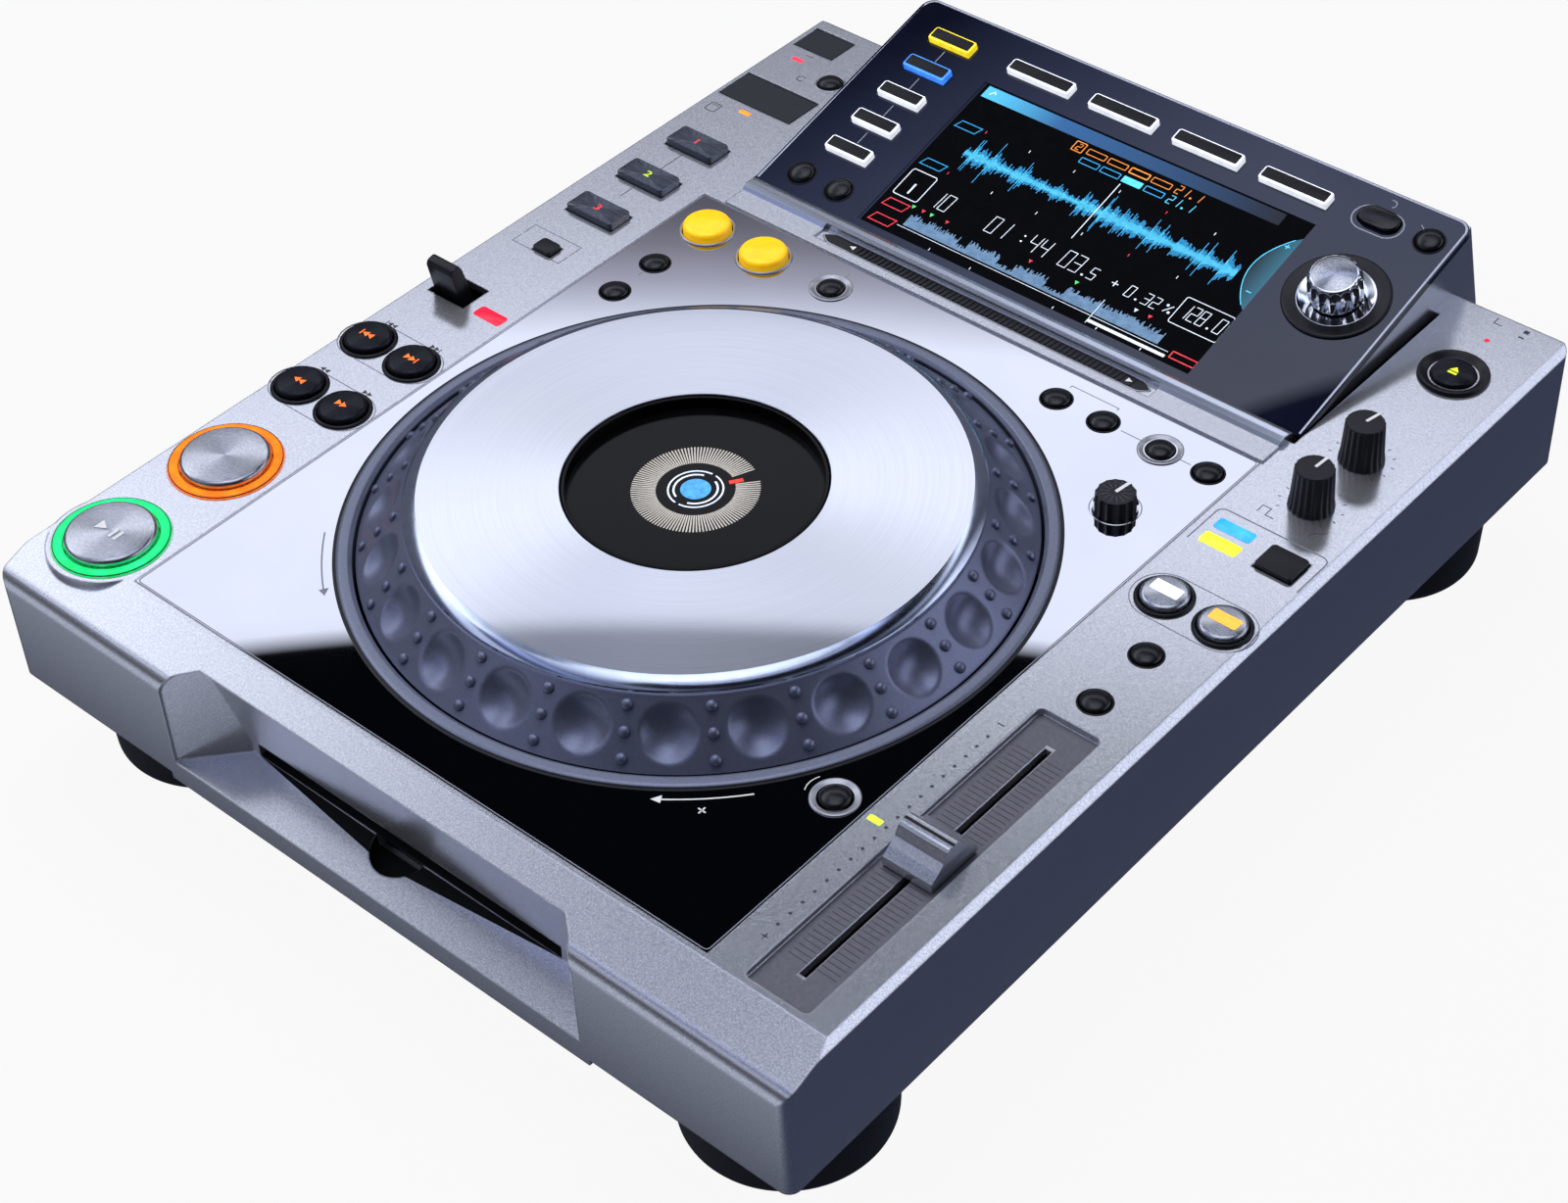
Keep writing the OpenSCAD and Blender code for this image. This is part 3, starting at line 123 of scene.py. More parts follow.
for name, angle, low, high, stops in (
        ("facing", tilted, 0, 90, lower + card + [(60.2, dark), (61.6, cool)] + upper),
        ("aside", tilted, 0, 90, lower + [(51.6, light), (52.4, dark)] + veil + upper),
        ("middle", tilted, 0, 90, lower + card + veil + upper),
        ("wing", sides, -180, 180, [(-180, off), (-95, off), (-75, grey), (-30, grey), (-10, off)]),
        ("level", height, 0, 90, [(6, off), (14, on), (33, on), (38, off)]),
        ("ring", sides, -180, 180, ring_tones),
        ("flank", sides, -180, 180, [(-180, off), (70, off), (80, on), (112, on), (118, off)]),
        ("shade", height, 0, 90, [(44, off), (46, on), (66, on), (70, off)]),
        ("front", height, 0, 90, [(46, "#F0F4FC"), (51, "#C4C8D2"), (56, "#6E727C"), (63, "#4C505A")])):
    ramp = add(tree, "ValToRGB", {0: angle[0]})
    marks = ramp[0].node.color_ramp.elements
    for i, (degrees, tone) in enumerate(stops):
        share = (degrees - low) / (high - low)
        stop = marks[i] if i < 2 else marks.new(share)
        stop.position, stop.color = share, linear(tone)
    ramps[name] = ramp[0]
# the card turns a corner beside the player, and the softbox closes over it in a ring
corner = add(tree, "MapRange", {"Value": sides[0], "From Min": 237.3 / 360, "From Max": 237.9 / 360})
inward = add(tree, "MapRange", {"Value": sides[0], "From Min": 227.0 / 360, "From Max": 231.0 / 360})
bands = add(tree, "Mix", {0: inward[0], 6: ramps["facing"], 7: ramps["middle"]}, data_type="RGBA")
bands = add(tree, "Mix", {0: corner[0], 6: bands[2], 7: ramps["aside"]}, data_type="RGBA")
lowness = add(tree, "MapRange", {"Value": height[0], "From Min": 82 / 90, "From Max": 60 / 90})
closed = {0: lowness[0], 6: bands[2], 7: ramps["ring"]}
seen = add(tree, "Mix", closed, data_type="RGBA", blend_type="MULTIPLY")
both = add(tree, "Math", {0: ramps["flank"], 1: ramps["shade"]}, operation="MULTIPLY")
seen = add(tree, "Mix", {0: both[0], 6: seen[2], 7: ramps["front"]}, data_type="RGBA")
seen = add(tree, "Mix", {0: ramps["level"], 6: seen[2], 7: ramps["wing"]}, data_type="RGBA", blend_type="ADD")
glossy = add(tree, "Math", {0: rays["Is Glossy Ray"], 1: rays["Is Transmission Ray"]}, operation="MAXIMUM")
soft = add(tree, "Mix", {0: glossy[0], 6: (0.08, 0.082, 0.09, 1), 7: seen[2]}, data_type="RGBA")
shown = add(tree, "Mix", {0: rays["Is Camera Ray"], 6: soft[2], 7: (1, 1, 1, 1)}, data_type="RGBA")
power = add(tree, "MapRange", {"Value": rays["Is Camera Ray"], "To Min": 2.0, "To Max": 1.0})
add(tree, "OutputWorld", {0: add(tree, "Background", {0: shown[2], 1: power[0]})[0]})

for name, spot, aim, size, power in (
        ("key", (-0.55, 0.35, 1.6), (0, 0, 0), 1.3, 27),
        ("fill", (-0.9, -1.25, 0.9), (0, -0.1, 0.05), 1.0, 8)):
    lamp = bpy.data.lights.new(name, "AREA")
    lamp.shape, lamp.size, lamp.energy = "SQUARE", size, power
    holder = bpy.data.objects.new(name, lamp)
    bpy.context.collection.objects.link(holder)
    aimed = (Vector(spot) - Vector(aim)).to_track_quat("Z", "Y")
    holder.matrix_world = Matrix.Translation(spot) @ aimed.to_matrix().to_4x4()
    holder.visible_glossy = False

# matt paper: plain white to the eye, a grey sweep in what the gloss mirrors
paper = bpy.data.materials.new("matt_white_paper")
paper.use_nodes = True
tree = paper.node_tree
tree.nodes.clear()
rays = add(tree, "LightPath")
place = add(tree, "TexCoord")["Object"]
fibre = add(tree, "TexNoise", {"Vector": place, "Scale": 900.0, "Detail": 3.0})
tint = add(tree, "Mix", {0: fibre[0], 6: linear("#8F8F92"), 7: linear("#9A9A9D")}, data_type="RGBA")
matt = add(tree, "BsdfDiffuse", {0: tint[2]})
lit = add(tree, "Emission", {0: (1, 1, 1, 1)})
spread = add(tree, "SeparateXYZ", {0: place})
aside = add(tree, "MapRange", {"Value": spread[0], "From Min": 0.13, "From Max": 0.19})
ahead = add(tree, "MapRange", {"Value": spread[1], "From Min": -0.215, "From Max": -0.29})
near = add(tree, "Mix", {0: ahead[0], 6: linear("#4A4E5C"), 7: linear("#BEC4D2")}, data_type="RGBA")
mirrored = add(tree, "Mix", {0: aside[0], 6: near[2], 7: linear("#343A52")}, data_type="RGBA")
card = add(tree, "Emission", {0: mirrored[2]})
lifted = add(tree, "MixShader", {0: 0.93, 1: matt[0], 2: lit[0]})
bounce = add(tree, "MixShader", {0: rays["Is Glossy Ray"], 1: matt[0], 2: card[0]})
shown = add(tree, "MixShader", {0: rays["Is Camera Ray"], 1: bounce[0], 2: lifted[0]})
add(tree, "OutputMaterial", {0: shown[0]})
floor_mesh = bpy.data.meshes.new("floor")
floor_mesh.from_pydata([(-9, -9, 0), (9, -9, 0), (9, 9, 0), (-9, 9, 0)], [], [(0, 1, 2, 3)])
floor_mesh.materials.append(paper)
floor = bpy.data.objects.new("floor", floor_mesh)
bpy.context.collection.objects.link(floor)


# Feet: four tall round feet of black rubber, each screwed to the pan through a metal cup. The side is
# smooth and a little tapered, and its lower edge is rounded.
def finish(name, dark, light, rough, metal=0.0, grain=0.6, bump=0.0, vary=0.04, axes=(1, 1, 1), chart="",
           edge=0.0, lit=0.0, fade=(), zone=(), twin=(), shader={}):
    """A surface whose colour, gloss and relief follow a fine noise, with its grain in mm. A fade runs the
    colour along an axis, and a zone polishes a stretch of it. A twin is a second, smoother lobe, given as
    (share, roughness)."""
    material = bpy.data.materials.new(name)
    material.use_nodes = True
    tree = material.node_tree
    tree.nodes.clear()
    if chart:
        spot = add(tree, "UVMap", uv_map=chart)[0]
    else:
        spot = add(tree, "TexCoord")["Object"]
    if fade:
        along = add(tree, "SeparateXYZ", {0: spot})[fade[0]]
    spot = add(tree, "Mapping", {"Vector": spot, "Scale": axes})[0]
    noise = add(tree, "TexNoise", {"Vector": spot, "Scale": 1000 / grain, "Detail": 3.0, "Roughness": 0.6})[0]
    tone = add(tree, "MapRange", {"Value": noise, "From Min": 0.3, "From Max": 0.7})[0]
    if fade:
        tone = add(tree, "MapRange", {"Value": along, "From Min": fade[1], "From Max": fade[2]})[0]
    colour = add(tree, "Mix", {0: tone, 6: linear(dark), 7: linear(light)}, data_type="RGBA")[2]
    gloss = add(tree, "MapRange", {"Value": noise, "To Min": max(rough - vary, 0), "To Max": rough + vary})[0]
    if zone:
        place = add(tree, "SeparateXYZ", {0: add(tree, "TexCoord")["Object"]})[zone[0]]
        ends = [add(tree, "MapRange", {"Value": place, "From Min": start, "From Max": end})[0]
                for start, end in ((zone[1] - 0.0002, zone[1]), (zone[2] + 0.0002, zone[2]))]
        inside = add(tree, "Math", {0: ends[0], 1: ends[1]}, operation="MULTIPLY")[0]
        gloss = add(tree, "Mix", {0: inside, 2: gloss, 3: zone[3]})[0]
        colour = add(tree, "Mix", {0: inside, 6: colour, 7: linear(zone[4])}, data_type="RGBA")[2]
    sockets = {"Base Color": colour, "Roughness": gloss, "Metallic": metal, **shader}
    if bump:
        relief = {"Height": noise, "Distance": bump / 1000, "Strength": 1.0}
        if edge:
            relief["Normal"] = add(tree, "Bevel", {"Radius": edge / 1000}, samples=4)[0]
        sockets["Normal"] = add(tree, "Bump", relief)[0]
    if chart and "Anisotropic" in shader:
        sockets["Tangent"] = add(tree, "Tangent", direction_type="UV_MAP", uv_map=chart)[0]
    if lit:
        sockets["Emission Color"], sockets["Emission Strength"] = colour, lit
    surface = add(tree, "BsdfPrincipled", sockets)[0]
    if twin:
        polish = {"Base Color": colour, "Roughness": twin[1], "Metallic": metal}
        smooth = add(tree, "BsdfPrincipled", polish)[0]
        surface = add(tree, "MixShader", {0: twin[0], 1: surface, 2: smooth})[0]
    add(tree, "OutputMaterial", {0: surface})
    return material


def softened(points, reach, closed=False):
    """A polyline or outline whose corners are rounded within the given reach."""
    result = []
    for i, point in enumerate(points):
        if not closed and i in (0, len(points) - 1):
            result.append(tuple(point))
            continue
        corner = Vector(point)
        before, after = Vector(points[i - 1]) - corner, Vector(points[(i + 1) % len(points)]) - corner
        cut = min(reach, before.length * 0.45, after.length * 0.45)
        start, end = corner + before.normalized() * cut, corner + after.normalized() * cut
        for t in (0, 1 / 3, 2 / 3, 1):
            result.append(tuple(start * (1 - t) ** 2 + corner * 2 * t * (1 - t) + end * t * t))
    return result


def meshed(bm):
    mesh = bpy.data.meshes.new("piece")
    bm.to_mesh(mesh)
    bm.free()
    return mesh


def lathe(profile, steps=96, ring=False, frame=()):
    """A turned solid from (radius, height) points in mm. Its chart runs round the circle and along the
    profile. With a frame (width, depth, corner) the radii are shares of the way to that outline."""
    bm = bmesh.new()
    chart = bm.loops.layers.uv.new("turning")
    reach = [1.0] * steps
    for i in range(steps if frame else 0):
        c, s = abs(cos(tau * i / steps)), abs(sin(tau * i / steps))
        a, b, r = frame[0] / 2, frame[1] / 2, frame[2]
        reach[i] = min(a / max(c, 1e-9), b / max(s, 1e-9))
        if reach[i] * c > a - r and reach[i] * s > b - r:
            p = c * (a - r) + s * (b - r)
            reach[i] = p + sqrt(max(p * p - (a - r) ** 2 - (b - r) ** 2 + r * r, 0))
    ways = [(reach[i] * cos(tau * i / steps), reach[i] * sin(tau * i / steps)) for i in range(steps)]
    rows = [[bm.verts.new((r * x, r * y, z)) for r, z in profile] for x, y in ways]
    along = [0.0]
    for j in range(len(profile)):
        along.append(along[-1] + dist(profile[j], profile[(j + 1) % len(profile)]) / 1000)
    for i in range(steps):
        for j in range(len(profile) if ring else len(profile) - 1):
            k = (j + 1) % len(profile)
            face = bm.faces.new((rows[i][j], rows[(i + 1) % steps][j], rows[(i + 1) % steps][k], rows[i][k]))
            for loop, uv in zip(face.loops, ((i, j), (i + 1, j), (i + 1, j + 1), (i, j + 1))):
                loop[chart].uv = (uv[0] / steps, along[uv[1]])
    bmesh.ops.remove_doubles(bm, verts=bm.verts, dist=1e-4)
    bmesh.ops.recalc_face_normals(bm, faces=bm.faces)
    return meshed(bm)


def set_in(name, mesh, place, material, body="player", stands_for=(), sharp=32):
    """Puts a mesh in its place as a finished piece of one body."""
    mesh.transform(place)
    mesh.materials.clear()
    mesh.materials.append(material)
    mesh.shade_smooth()
    mesh.set_sharp_from_angle(angle=radians(sharp))
    thing = bpy.data.objects.new(name, mesh)
    bpy.context.collection.objects.link(thing)
    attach(thing, body)
    if stands_for:
        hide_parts(*stands_for)


def set_for(node, name, mesh, place, material):
    """Puts in the main piece of a node that moves, in place of its CAD shape."""
    set_in(name, mesh, place, material, node, (node,))


def on_table(x=0, y=0, z=0):
    return Matrix.Scale(0.001, 4) @ Matrix.Translation((x, y, z))


# moulded rubber: dull black with a faint grey bloom
rubber = finish("moulded_black_rubber", "#17181B", "#222428", 0.42, grain=1.2, bump=0.01)
foot_side = [(0, 0.2), (12, 0.2), (12, 1.6), (24, 1.6), (24, 0), (30.4, 0), (32, 2.2), (33, 30.9), (0, 30.9)]
for i, (x, y) in enumerate(((-122, -162), (122, -162), (-122, 145), (122, 145))):
    foot = lathe(softened(foot_side, 1.2))
    set_in(f"foot_{i + 1}", foot, on_table(x, y), rubber, stands_for=("feet",))


# Bottom pan and jack panel: one steel sheet, folded and powder coated, with the jacks fixed in its rear
# wall and pan screws along its edge.
def cover(node, material):
    """Gives a CAD piece that shows as it is its material."""
    nodes[node].data.materials.clear()
    nodes[node].data.materials.append(material)


# powder coat: fine orange-peel relief, satin
pan_paint = finish("powder_coated_steel", "#1D1F24", "#2A2C32", 0.5, grain=0.9, bump=0.03, edge=0.4)
cover("chassis", pan_paint)
# moulded nylon and board lacquer: dark, half gloss
inner_plastic = finish("moulded_nylon", "#1B1D20", "#26292D", 0.45, grain=1.5, bump=0.01)
cover("internals", inner_plastic)


def row(unit, material, count, start=(0, 0, 0), step=(0, 0, 0), turn=(0, 0, 0)):
    """Copies of one small mesh in a row or a circle, made with Geometry Nodes and turned into a plain mesh."""
    tree = bpy.data.node_groups.get("copies_in_a_row")
    if tree is None:
        tree = bpy.data.node_groups.new("copies_in_a_row", "GeometryNodeTree")
        for label, kind in (("Unit", "Geometry"), ("Count", "Int"), ("Start", "Vector"), ("Step", "Vector"),
                            ("Turn", "Vector"), ("Finish", "Material")):
            tree.interface.new_socket(label, in_out="INPUT", socket_type="NodeSocket" + kind)
        tree.interface.new_socket("Row", in_out="OUTPUT", socket_type="NodeSocketGeometry")
        given = add(tree, "NodeGroupInput")
        index = add(tree, "GeometryNodeInputIndex")[0]
        vector = "ShaderNodeVectorMath"
        moved = add(tree, vector, {0: given["Step"], "Scale": index}, operation="SCALE")[0]
        spin = add(tree, vector, {0: given["Turn"], "Scale": index}, operation="SCALE")[0]
        spot = add(tree, vector, {0: given["Start"], 1: moved}, operation="ADD")[0]
        points = add(tree, "GeometryNodePoints", {"Count": given["Count"], "Position": spot})[0]
        copies = {"Points": points, "Instance": given["Unit"], "Rotation": spin}
        copies = add(tree, "GeometryNodeInstanceOnPoints", copies)[0]
        solid = add(tree, "GeometryNodeRealizeInstances", {0: copies})[0]
        finished = add(tree, "GeometryNodeSetMaterial", {"Geometry": solid, "Material": given["Finish"]})[0]
        add(tree, "NodeGroupOutput", {0: finished})
    holder = bpy.data.objects.new("row", unit)
    modifier = holder.modifiers.new("row", "NODES")
    modifier.node_group = tree
    values = {"Count": count, "Start": start, "Step": step, "Turn": turn, "Finish": material}
    for item in tree.interface.items_tree:
        if item.in_out == "INPUT" and item.name in values:
            modifier[item.identifier] = values[item.name]
    bpy.context.collection.objects.link(holder)
    mesh = bpy.data.meshes.new_from_object(holder.evaluated_get(bpy.context.evaluated_depsgraph_get()))
    holder.modifiers.remove(modifier)
    bpy.data.objects.remove(holder)
    return mesh


def on_rear(x, z, out=0.0):
    outward = Matrix.Rotation(pi, 4, "Z") @ Matrix.Rotation(pi / 2, 4, "X")
    return on_table(x, 184 + out, z) @ outward


def hoop(section, reach, steps):
    """A turned ring whose section has rounded corners."""
    return lathe(softened(section, reach, closed=True), steps, ring=True)


# nickel plate: bright and smooth
nickel = finish("nickel_plate", "#B7B5AE", "#D0CEC6", 0.22, metal=1.0, grain=0.8)
# moulded ABS in signal colours: glossy white, red and orange
for name, x, dark, light in (
        ("left", -60, "#E6E6E4", "#F2F2F0"), ("right", -44, "#B51F24", "#C8272C"),
        ("digital", -26, "#D07A1E", "#DE8A2C")):
    collar = finish(f"moulded_abs_{name}", dark, light, 0.35)
    set_in(f"jack_collar_{name}", hoop([(4.4, -0.5), (6.2, -0.5), (6.2, 1.4), (4.4, 1.4)], 0.3, 48),
           on_rear(x, 45), collar)
screw_side = [(0, 1.5), (0.9, 1.5), (0.9, 0.8), (1.3, 0.8), (1.3, 1.5), (2.6, 1.3), (3.1, 0.4), (3.1, -0.2), (0, -0.2)]
screw_head = lathe(softened(screw_side, 0.2), 24)
# zinc plate, blackened: dull dark screws
black_zinc = finish("blackened_zinc_plate", "#222328", "#34353A", 0.35, metal=0.8, grain=0.5)
screws = row(screw_head, black_zinc, 7, (-138, 0, 0), (46, 0, 0))
set_in("rear_screws", screws, on_rear(0, 35.2, -0.1), black_zinc)

# Top cover: one injection moulding in ABS, sprayed with silver paint over a spark-eroded texture. It makes
# the deck, the side walls, the sloped front edge and the loading recess with its lip.
# metallic paint: flakes show as a fine light and dark grain, satin
silver_paint = finish("metallic_silver_paint", "#C2C6D2", "#E9EBF2", 0.205, metal=0.86, grain=0.5, bump=0.003,
                      vary=0.03, edge=0.9)
cover("top_cover", silver_paint)
deck_top = 78.2


def on_deck(x=0, y=0, z=0):
    return on_table(x, y, deck_top + z)


def plates(shapes, low, high, edge=0.0):
    """Flat outlines in mm given a thickness, with the upper edge eased."""
    bm = bmesh.new()
    corners, border = {}, set()

    def corner(x, y, z):
        key = (round(x, 3), round(y, 3), z)
        if key not in corners:
            corners[key] = bm.verts.new((x, y, z))
        return corners[key]

    for shape in shapes:
        spots = []
        for x, y in shape:
            spot = (round(x, 3), round(y, 3))
            if spot not in spots:
                spots.append(spot)
        if len(spots) < 3:
            continue
        if sum(spots[i - 1][0] * p[1] - p[0] * spots[i - 1][1] for i, p in enumerate(spots)) < 0:
            spots.reverse()
        try:
            bm.faces.new([corner(*p, high) for p in spots])
            bm.faces.new([corner(*p, low) for p in reversed(spots)])
        except ValueError:
            continue
        border |= {(spots[i - 1], p) for i, p in enumerate(spots)}
    rims = []
    for a, b in sorted(border):
        if (b, a) not in border:
            bm.faces.new((corner(*a, low), corner(*b, low), corner(*b, high), corner(*a, high)))
            rims.append(bm.edges.get((corner(*a, high), corner(*b, high))))
    if edge:
        bmesh.ops.bevel(bm, geom=rims, offset=edge, segments=3, profile=0.5, affect="EDGES", clamp_overlap=True)
    return meshed(bm)


def arc(x, y, r, start, end, steps=24):
    angles = [radians(start + (end - start) * i / steps) for i in range(steps + 1)]
    return [(x + r * cos(a), y + r * sin(a)) for a in angles]


# dull black sheets in the disc slot, on its lip and in the finger notch: painted shade and shadow, taking all the
# light
painted_slot_shade = finish("black_painted_slot_shade", "#050506", "#0A0A0C", 0.9, grain=0.4, bump=0.02)
# the slot's floor is darkened by a black sheet: painted shade inside the opening
slot_painted_shade = [(-63.9, -186.8), (61.9, -186.8), (61.9, -170), (-63.9, -170)]
set_in("slot_painted_shade", plates([slot_painted_shade], 41.0, 41.12), on_table(), painted_slot_shade)
# a black wedge on the lip's slope, where the slot's shadow falls: painted shadow
lip_painted_shadow = [arc(-3.5, 1, 10.1, 352, 317, 8) + [(61.5, -0.1)], arc(-3.5, 1, 10.1, 188, 223, 8) + [(-63.5, -0.1)]]
on_lip = on_table(0, -187, 41) @ Matrix.Rotation(atan2(4.3, 16), 4, "X")
set_in("lip_painted_shadow", plates(lip_painted_shadow, 0.02, 0.12), on_lip, painted_slot_shade)
# the finger notch's floor and, below, its curved wall are black too: painted shade
set_in("notch_painted_shade", plates([arc(-3.5, -186, 9.8, 180, 360, 24)], 35.0, 35.12), on_table(), painted_slot_shade)
bm = bmesh.new()
bend = []
for outer, inner in zip(arc(-3.5, -186, 9.96, 187, 353, 32), arc(-3.5, -186, 9.76, 187, 353, 32)):
    upper = (outer[1] + 187) * 0.269
    corners = (outer, 35), (outer, 40.75 + upper), (inner, 40.7 + upper), (inner, 35)
    bend.append([bm.verts.new((x, y, z)) for (x, y), z in corners])
for near, far in zip(bend, bend[1:]):
    for i in range(4):
        bm.faces.new((near[i], far[i], far[(i + 1) % 4], near[(i + 1) % 4]))
bm.faces.new(bend[0])
bm.faces.new(bend[-1][::-1])
bmesh.ops.recalc_face_normals(bm, faces=bm.faces)
set_in("notch_painted_shade_wall", meshed(bm), on_table(), painted_slot_shade)

# Deck print: fine lines and symbols screen printed in dark grey, with engraved borders round the pairs of
# buttons and the lamps' windows.
# screen ink: matt, slightly raised
dark_ink = finish("dark_grey_screen_ink", "#34363F", "#40424C", 0.55)
# engraved line: the shade in its groove is painted as a dull grey, darker than the paint
painted_groove_shade = finish("shaded_engraving", "#7C8090", "#8A8E9E", 0.45, metal=0.4)


def rounded(x, y, w, d, r, steps=6):
    corners = ((1, 1, 0), (-1, 1, 90), (-1, -1, 180), (1, -1, 270))
    return [p for i, j, a in corners for p in arc(x + i * (w / 2 - r), y + j * (d / 2 - r), r, a, a + 90, steps)]


def line(points, width, closed=False):
    """A line of even width along points, as faces that share their ends."""
    edges = []
    count = len(points)
    for i, p in enumerate(points):
        before = Vector(points[i - 1]) if closed or i else None
        after = Vector(points[(i + 1) % count]) if closed or i < count - 1 else None
        here = Vector(p)
        parts = [(a, b) for a, b in ((before, here), (here, after)) if a is not None and b is not None]
        ways = [(b - a).normalized() for a, b in parts if (b - a).length > 1e-6]
        way = sum(ways, Vector((0, 0))).normalized()
        side = Vector((-way.y, way.x))
        stretch = 1 / max(side.dot(Vector((-ways[0].y, ways[0].x))), 0.5)
        edges.append((tuple(here + side * width / 2 * stretch), tuple(here - side * width / 2 * stretch)))
    ends = [(edges[i], edges[(i + 1) % count]) for i in range(count if closed else count - 1)]
    return [(a[0], b[0], b[1], a[1]) for a, b in ends]


def pill(x, y, w, d):
    """An outline with round ends."""
    return arc(x + w / 2 - d / 2, y, d / 2, -90, 90, 12) + arc(x - w / 2 + d / 2, y, d / 2, 90, 270, 12)


def triangle(x, y, w, d):
    return [(x + w / 2, y), (x - w / 2, y + d / 2), (x - w / 2, y - d / 2)]


def dashes(width, *ends):
    """Straight strokes of one width, each given as (x, y, x, y)."""
    return [q for x0, y0, x1, y1 in ends for q in line([(x0, y0), (x1, y1)], width)]


# the two rows of controls beside the plate
left_x, right_x = -138.3, 138.2
grooves = line(pill(left_x, -56.9, 42, 19), 0.35, True) + line(pill(left_x, -87.3, 42, 19), 0.35, True)
grooves += line(rounded(right_x, 5, 42, 20.4, 10), 0.35, True)
grooves += line([(117.4, 31)] + rounded(137.15, 39.9, 39.5, 17.8, 2.5)[0:14][::-1] + [(156.9, 31)], 0.5)
grooves += line([(-150.8, 18), (-150.8, 23.8), (-129, 23.8), (-129, 18)], 0.4)
grooves += line([(-150.8, 17), (-150.8, 12.5), (-129, 12.5), (-129, 17)], 0.4)
# the engraved borders are flat strips whose grey is the grooves' painted shade
set_in("deck_engraving", plates(grooves, -0.3, 0.03), on_deck(), painted_groove_shade)
ink = dashes(0.3, (-139.5, 54, -139.5, 62), (-139.5, 75, -139.5, 86))
ink += [rounded(145, 181, 1.8, 1.8, 0.2), rounded(145, 177.5, 2.0, 0.7, 0.1)]
ink += line([(134, 182), (134, 179), (137, 179)], 0.35)
ink += line(rounded(-151.2, 115.5, 4.5, 5, 0.6), 0.35, True) + line([(-152.6, 117), (-149.8, 117)], 0.3)
for x, y, way in ((-148.45, -76.4, -1), (-128.15, -76.4, 1), (-148.45, -46.2, -1), (-128.15, -46.2, 1)):
    ink += [triangle(x + way * dx, y, way * 1.9, 2) for dx in (-1.0, 1.0)]
    if y > -60:
        ink += line([(x + way * 2.3, y - 1), (x + way * 2.3, y + 1)], 0.35)
ink += line(arc(left_x, 149, 1.5, 30, 330), 0.35) + line([(-147, 162), (-143, 162)], 0.3)
for y in (94.25, 66.55):
    ink += [q for a in range(-40, 221, 26) for q in line([arc(right_x, y, r, a, a, 1)[0] for r in (9.6, 10.7)], 0.3)]
ink += line([(126.9, 54), (126.9, 57.5), (129.9, 57.5), (129.9, 54), (132.9, 54)], 0.3)
ink += line(arc(149, 54, 3.4, 90, 180, 8), 0.3)
ink += dashes(0.4, (121.7, -67, 124.1, -67), (121.7, -168.3, 124.1, -168.3), (122.9, -169.5, 122.9, -167.1))
set_in("deck_print", plates(ink, -0.1, 0.03), on_deck(), dark_ink)
dots = row(plates([rounded(0, 0, 1.1, 1.1, 0.55, 4)], -0.1, 0.03), dark_ink, 19, (122.9, -73, 0), (0, -5, 0))
set_in("tempo_scale_dots", dots, on_deck(), dark_ink)

# Deck lamps: small clear windows of tinted polycarbonate pressed in from below, lit by LEDs on the boards
# under the deck.
for name, shape, dark, light, glow in (
        ("usb", rounded(-147.4, 157.7, 4.8, 1.9, 0.35), "#D8203A", "#FF3850", 0.9),
        ("card", rounded(-139.6, 119.6, 4.8, 1.9, 0.35), "#F07818", "#FF9A30", 0.9),
        ("standby", arc(137.2, 169.5, 0.9, 0, 360, 16), "#B01028", "#E02038", 0.7),
        ("tempo", rounded(118.8, -117.7, 4.7, 2.2, 0.35), "#A8D020", "#D4F040", 0.9),
        ("vinyl", rounded(127, 42.3, 13.2, 5, 0.8), "#1E8CFF", "#42B0FF", 0.9),
        ("cd", rounded(127, 34.6, 13.2, 5.2, 0.8), "#C8E41C", "#E4F83C", 0.9),
        ("reverse", rounded(-126.2, -22.65, 11.8, 5.3, 1), "#C8102E", "#F02848", 0.8)):
    # tinted polycarbonate over an LED: even glow
    window = finish(f"tinted_polycarbonate_{name}", dark, light, 0.25, grain=9, lit=glow)
    set_in(f"{name}_lamp", plates([shape], -0.6, 0.12, 0.1), on_deck(), window)


# Play and cue buttons: spun aluminium caps over lit rings of diffusing acrylic. The spinning leaves fine
# circles that draw the light out into a fan.
def turned(name, dark, light, rough, stretch, metal=1.0, grain=0.35, vary=0.08, around=0.01, twin=()):
    """A metal with fine marks round its middle, which stretch what it mirrors."""
    return finish(name, dark, light, rough, metal, grain, vary=vary, axes=(around, 1, 1), chart="turning", twin=twin,
                  shader={"Anisotropic": stretch, "Anisotropic Rotation": 0.25})


# spun aluminium: bright, with a stretched highlight
spun = turned("spun_aluminium", "#A6A9B2", "#D6D8DF", 0.24, 0.85)
# pad print: pale, matt
pale_symbol = finish("pale_pad_print", "#D8DAE2", "#E6E8EE", 0.5)
cap_side = [(0, 2.85), (9.5, 3.0)] + softened([(9.6, 3.0), (13.6, 3.0), (14.4, 2.2), (14.4, -3.2), (0, -3.2)], 0.5)
for name, y, dark, light in (("play", -174, "#00C45C", "#1CEC84"), ("cue", -127.8, "#EE5E00", "#FF7E0C")):
    set_for(f"{name}_button", f"{name}_cap", lathe(cap_side, 128), on_deck(left_x, y), spun)
    # diffusing acrylic: even glow, glossy skin
    acrylic = finish(f"lit_acrylic_{name}", dark, light, 0.3, grain=6, lit=0.85, shader={"Specular IOR Level": 0.25})
    halo = [(14.75, -2.6), (14.75, 0.4), (15.3, 0.9), (17.4, 0.9), (18.4, 0.2), (18.4, -2.6)]
    set_in(f"{name}_halo", hoop(halo, 0.4, 128), on_deck(left_x, y), acrylic)
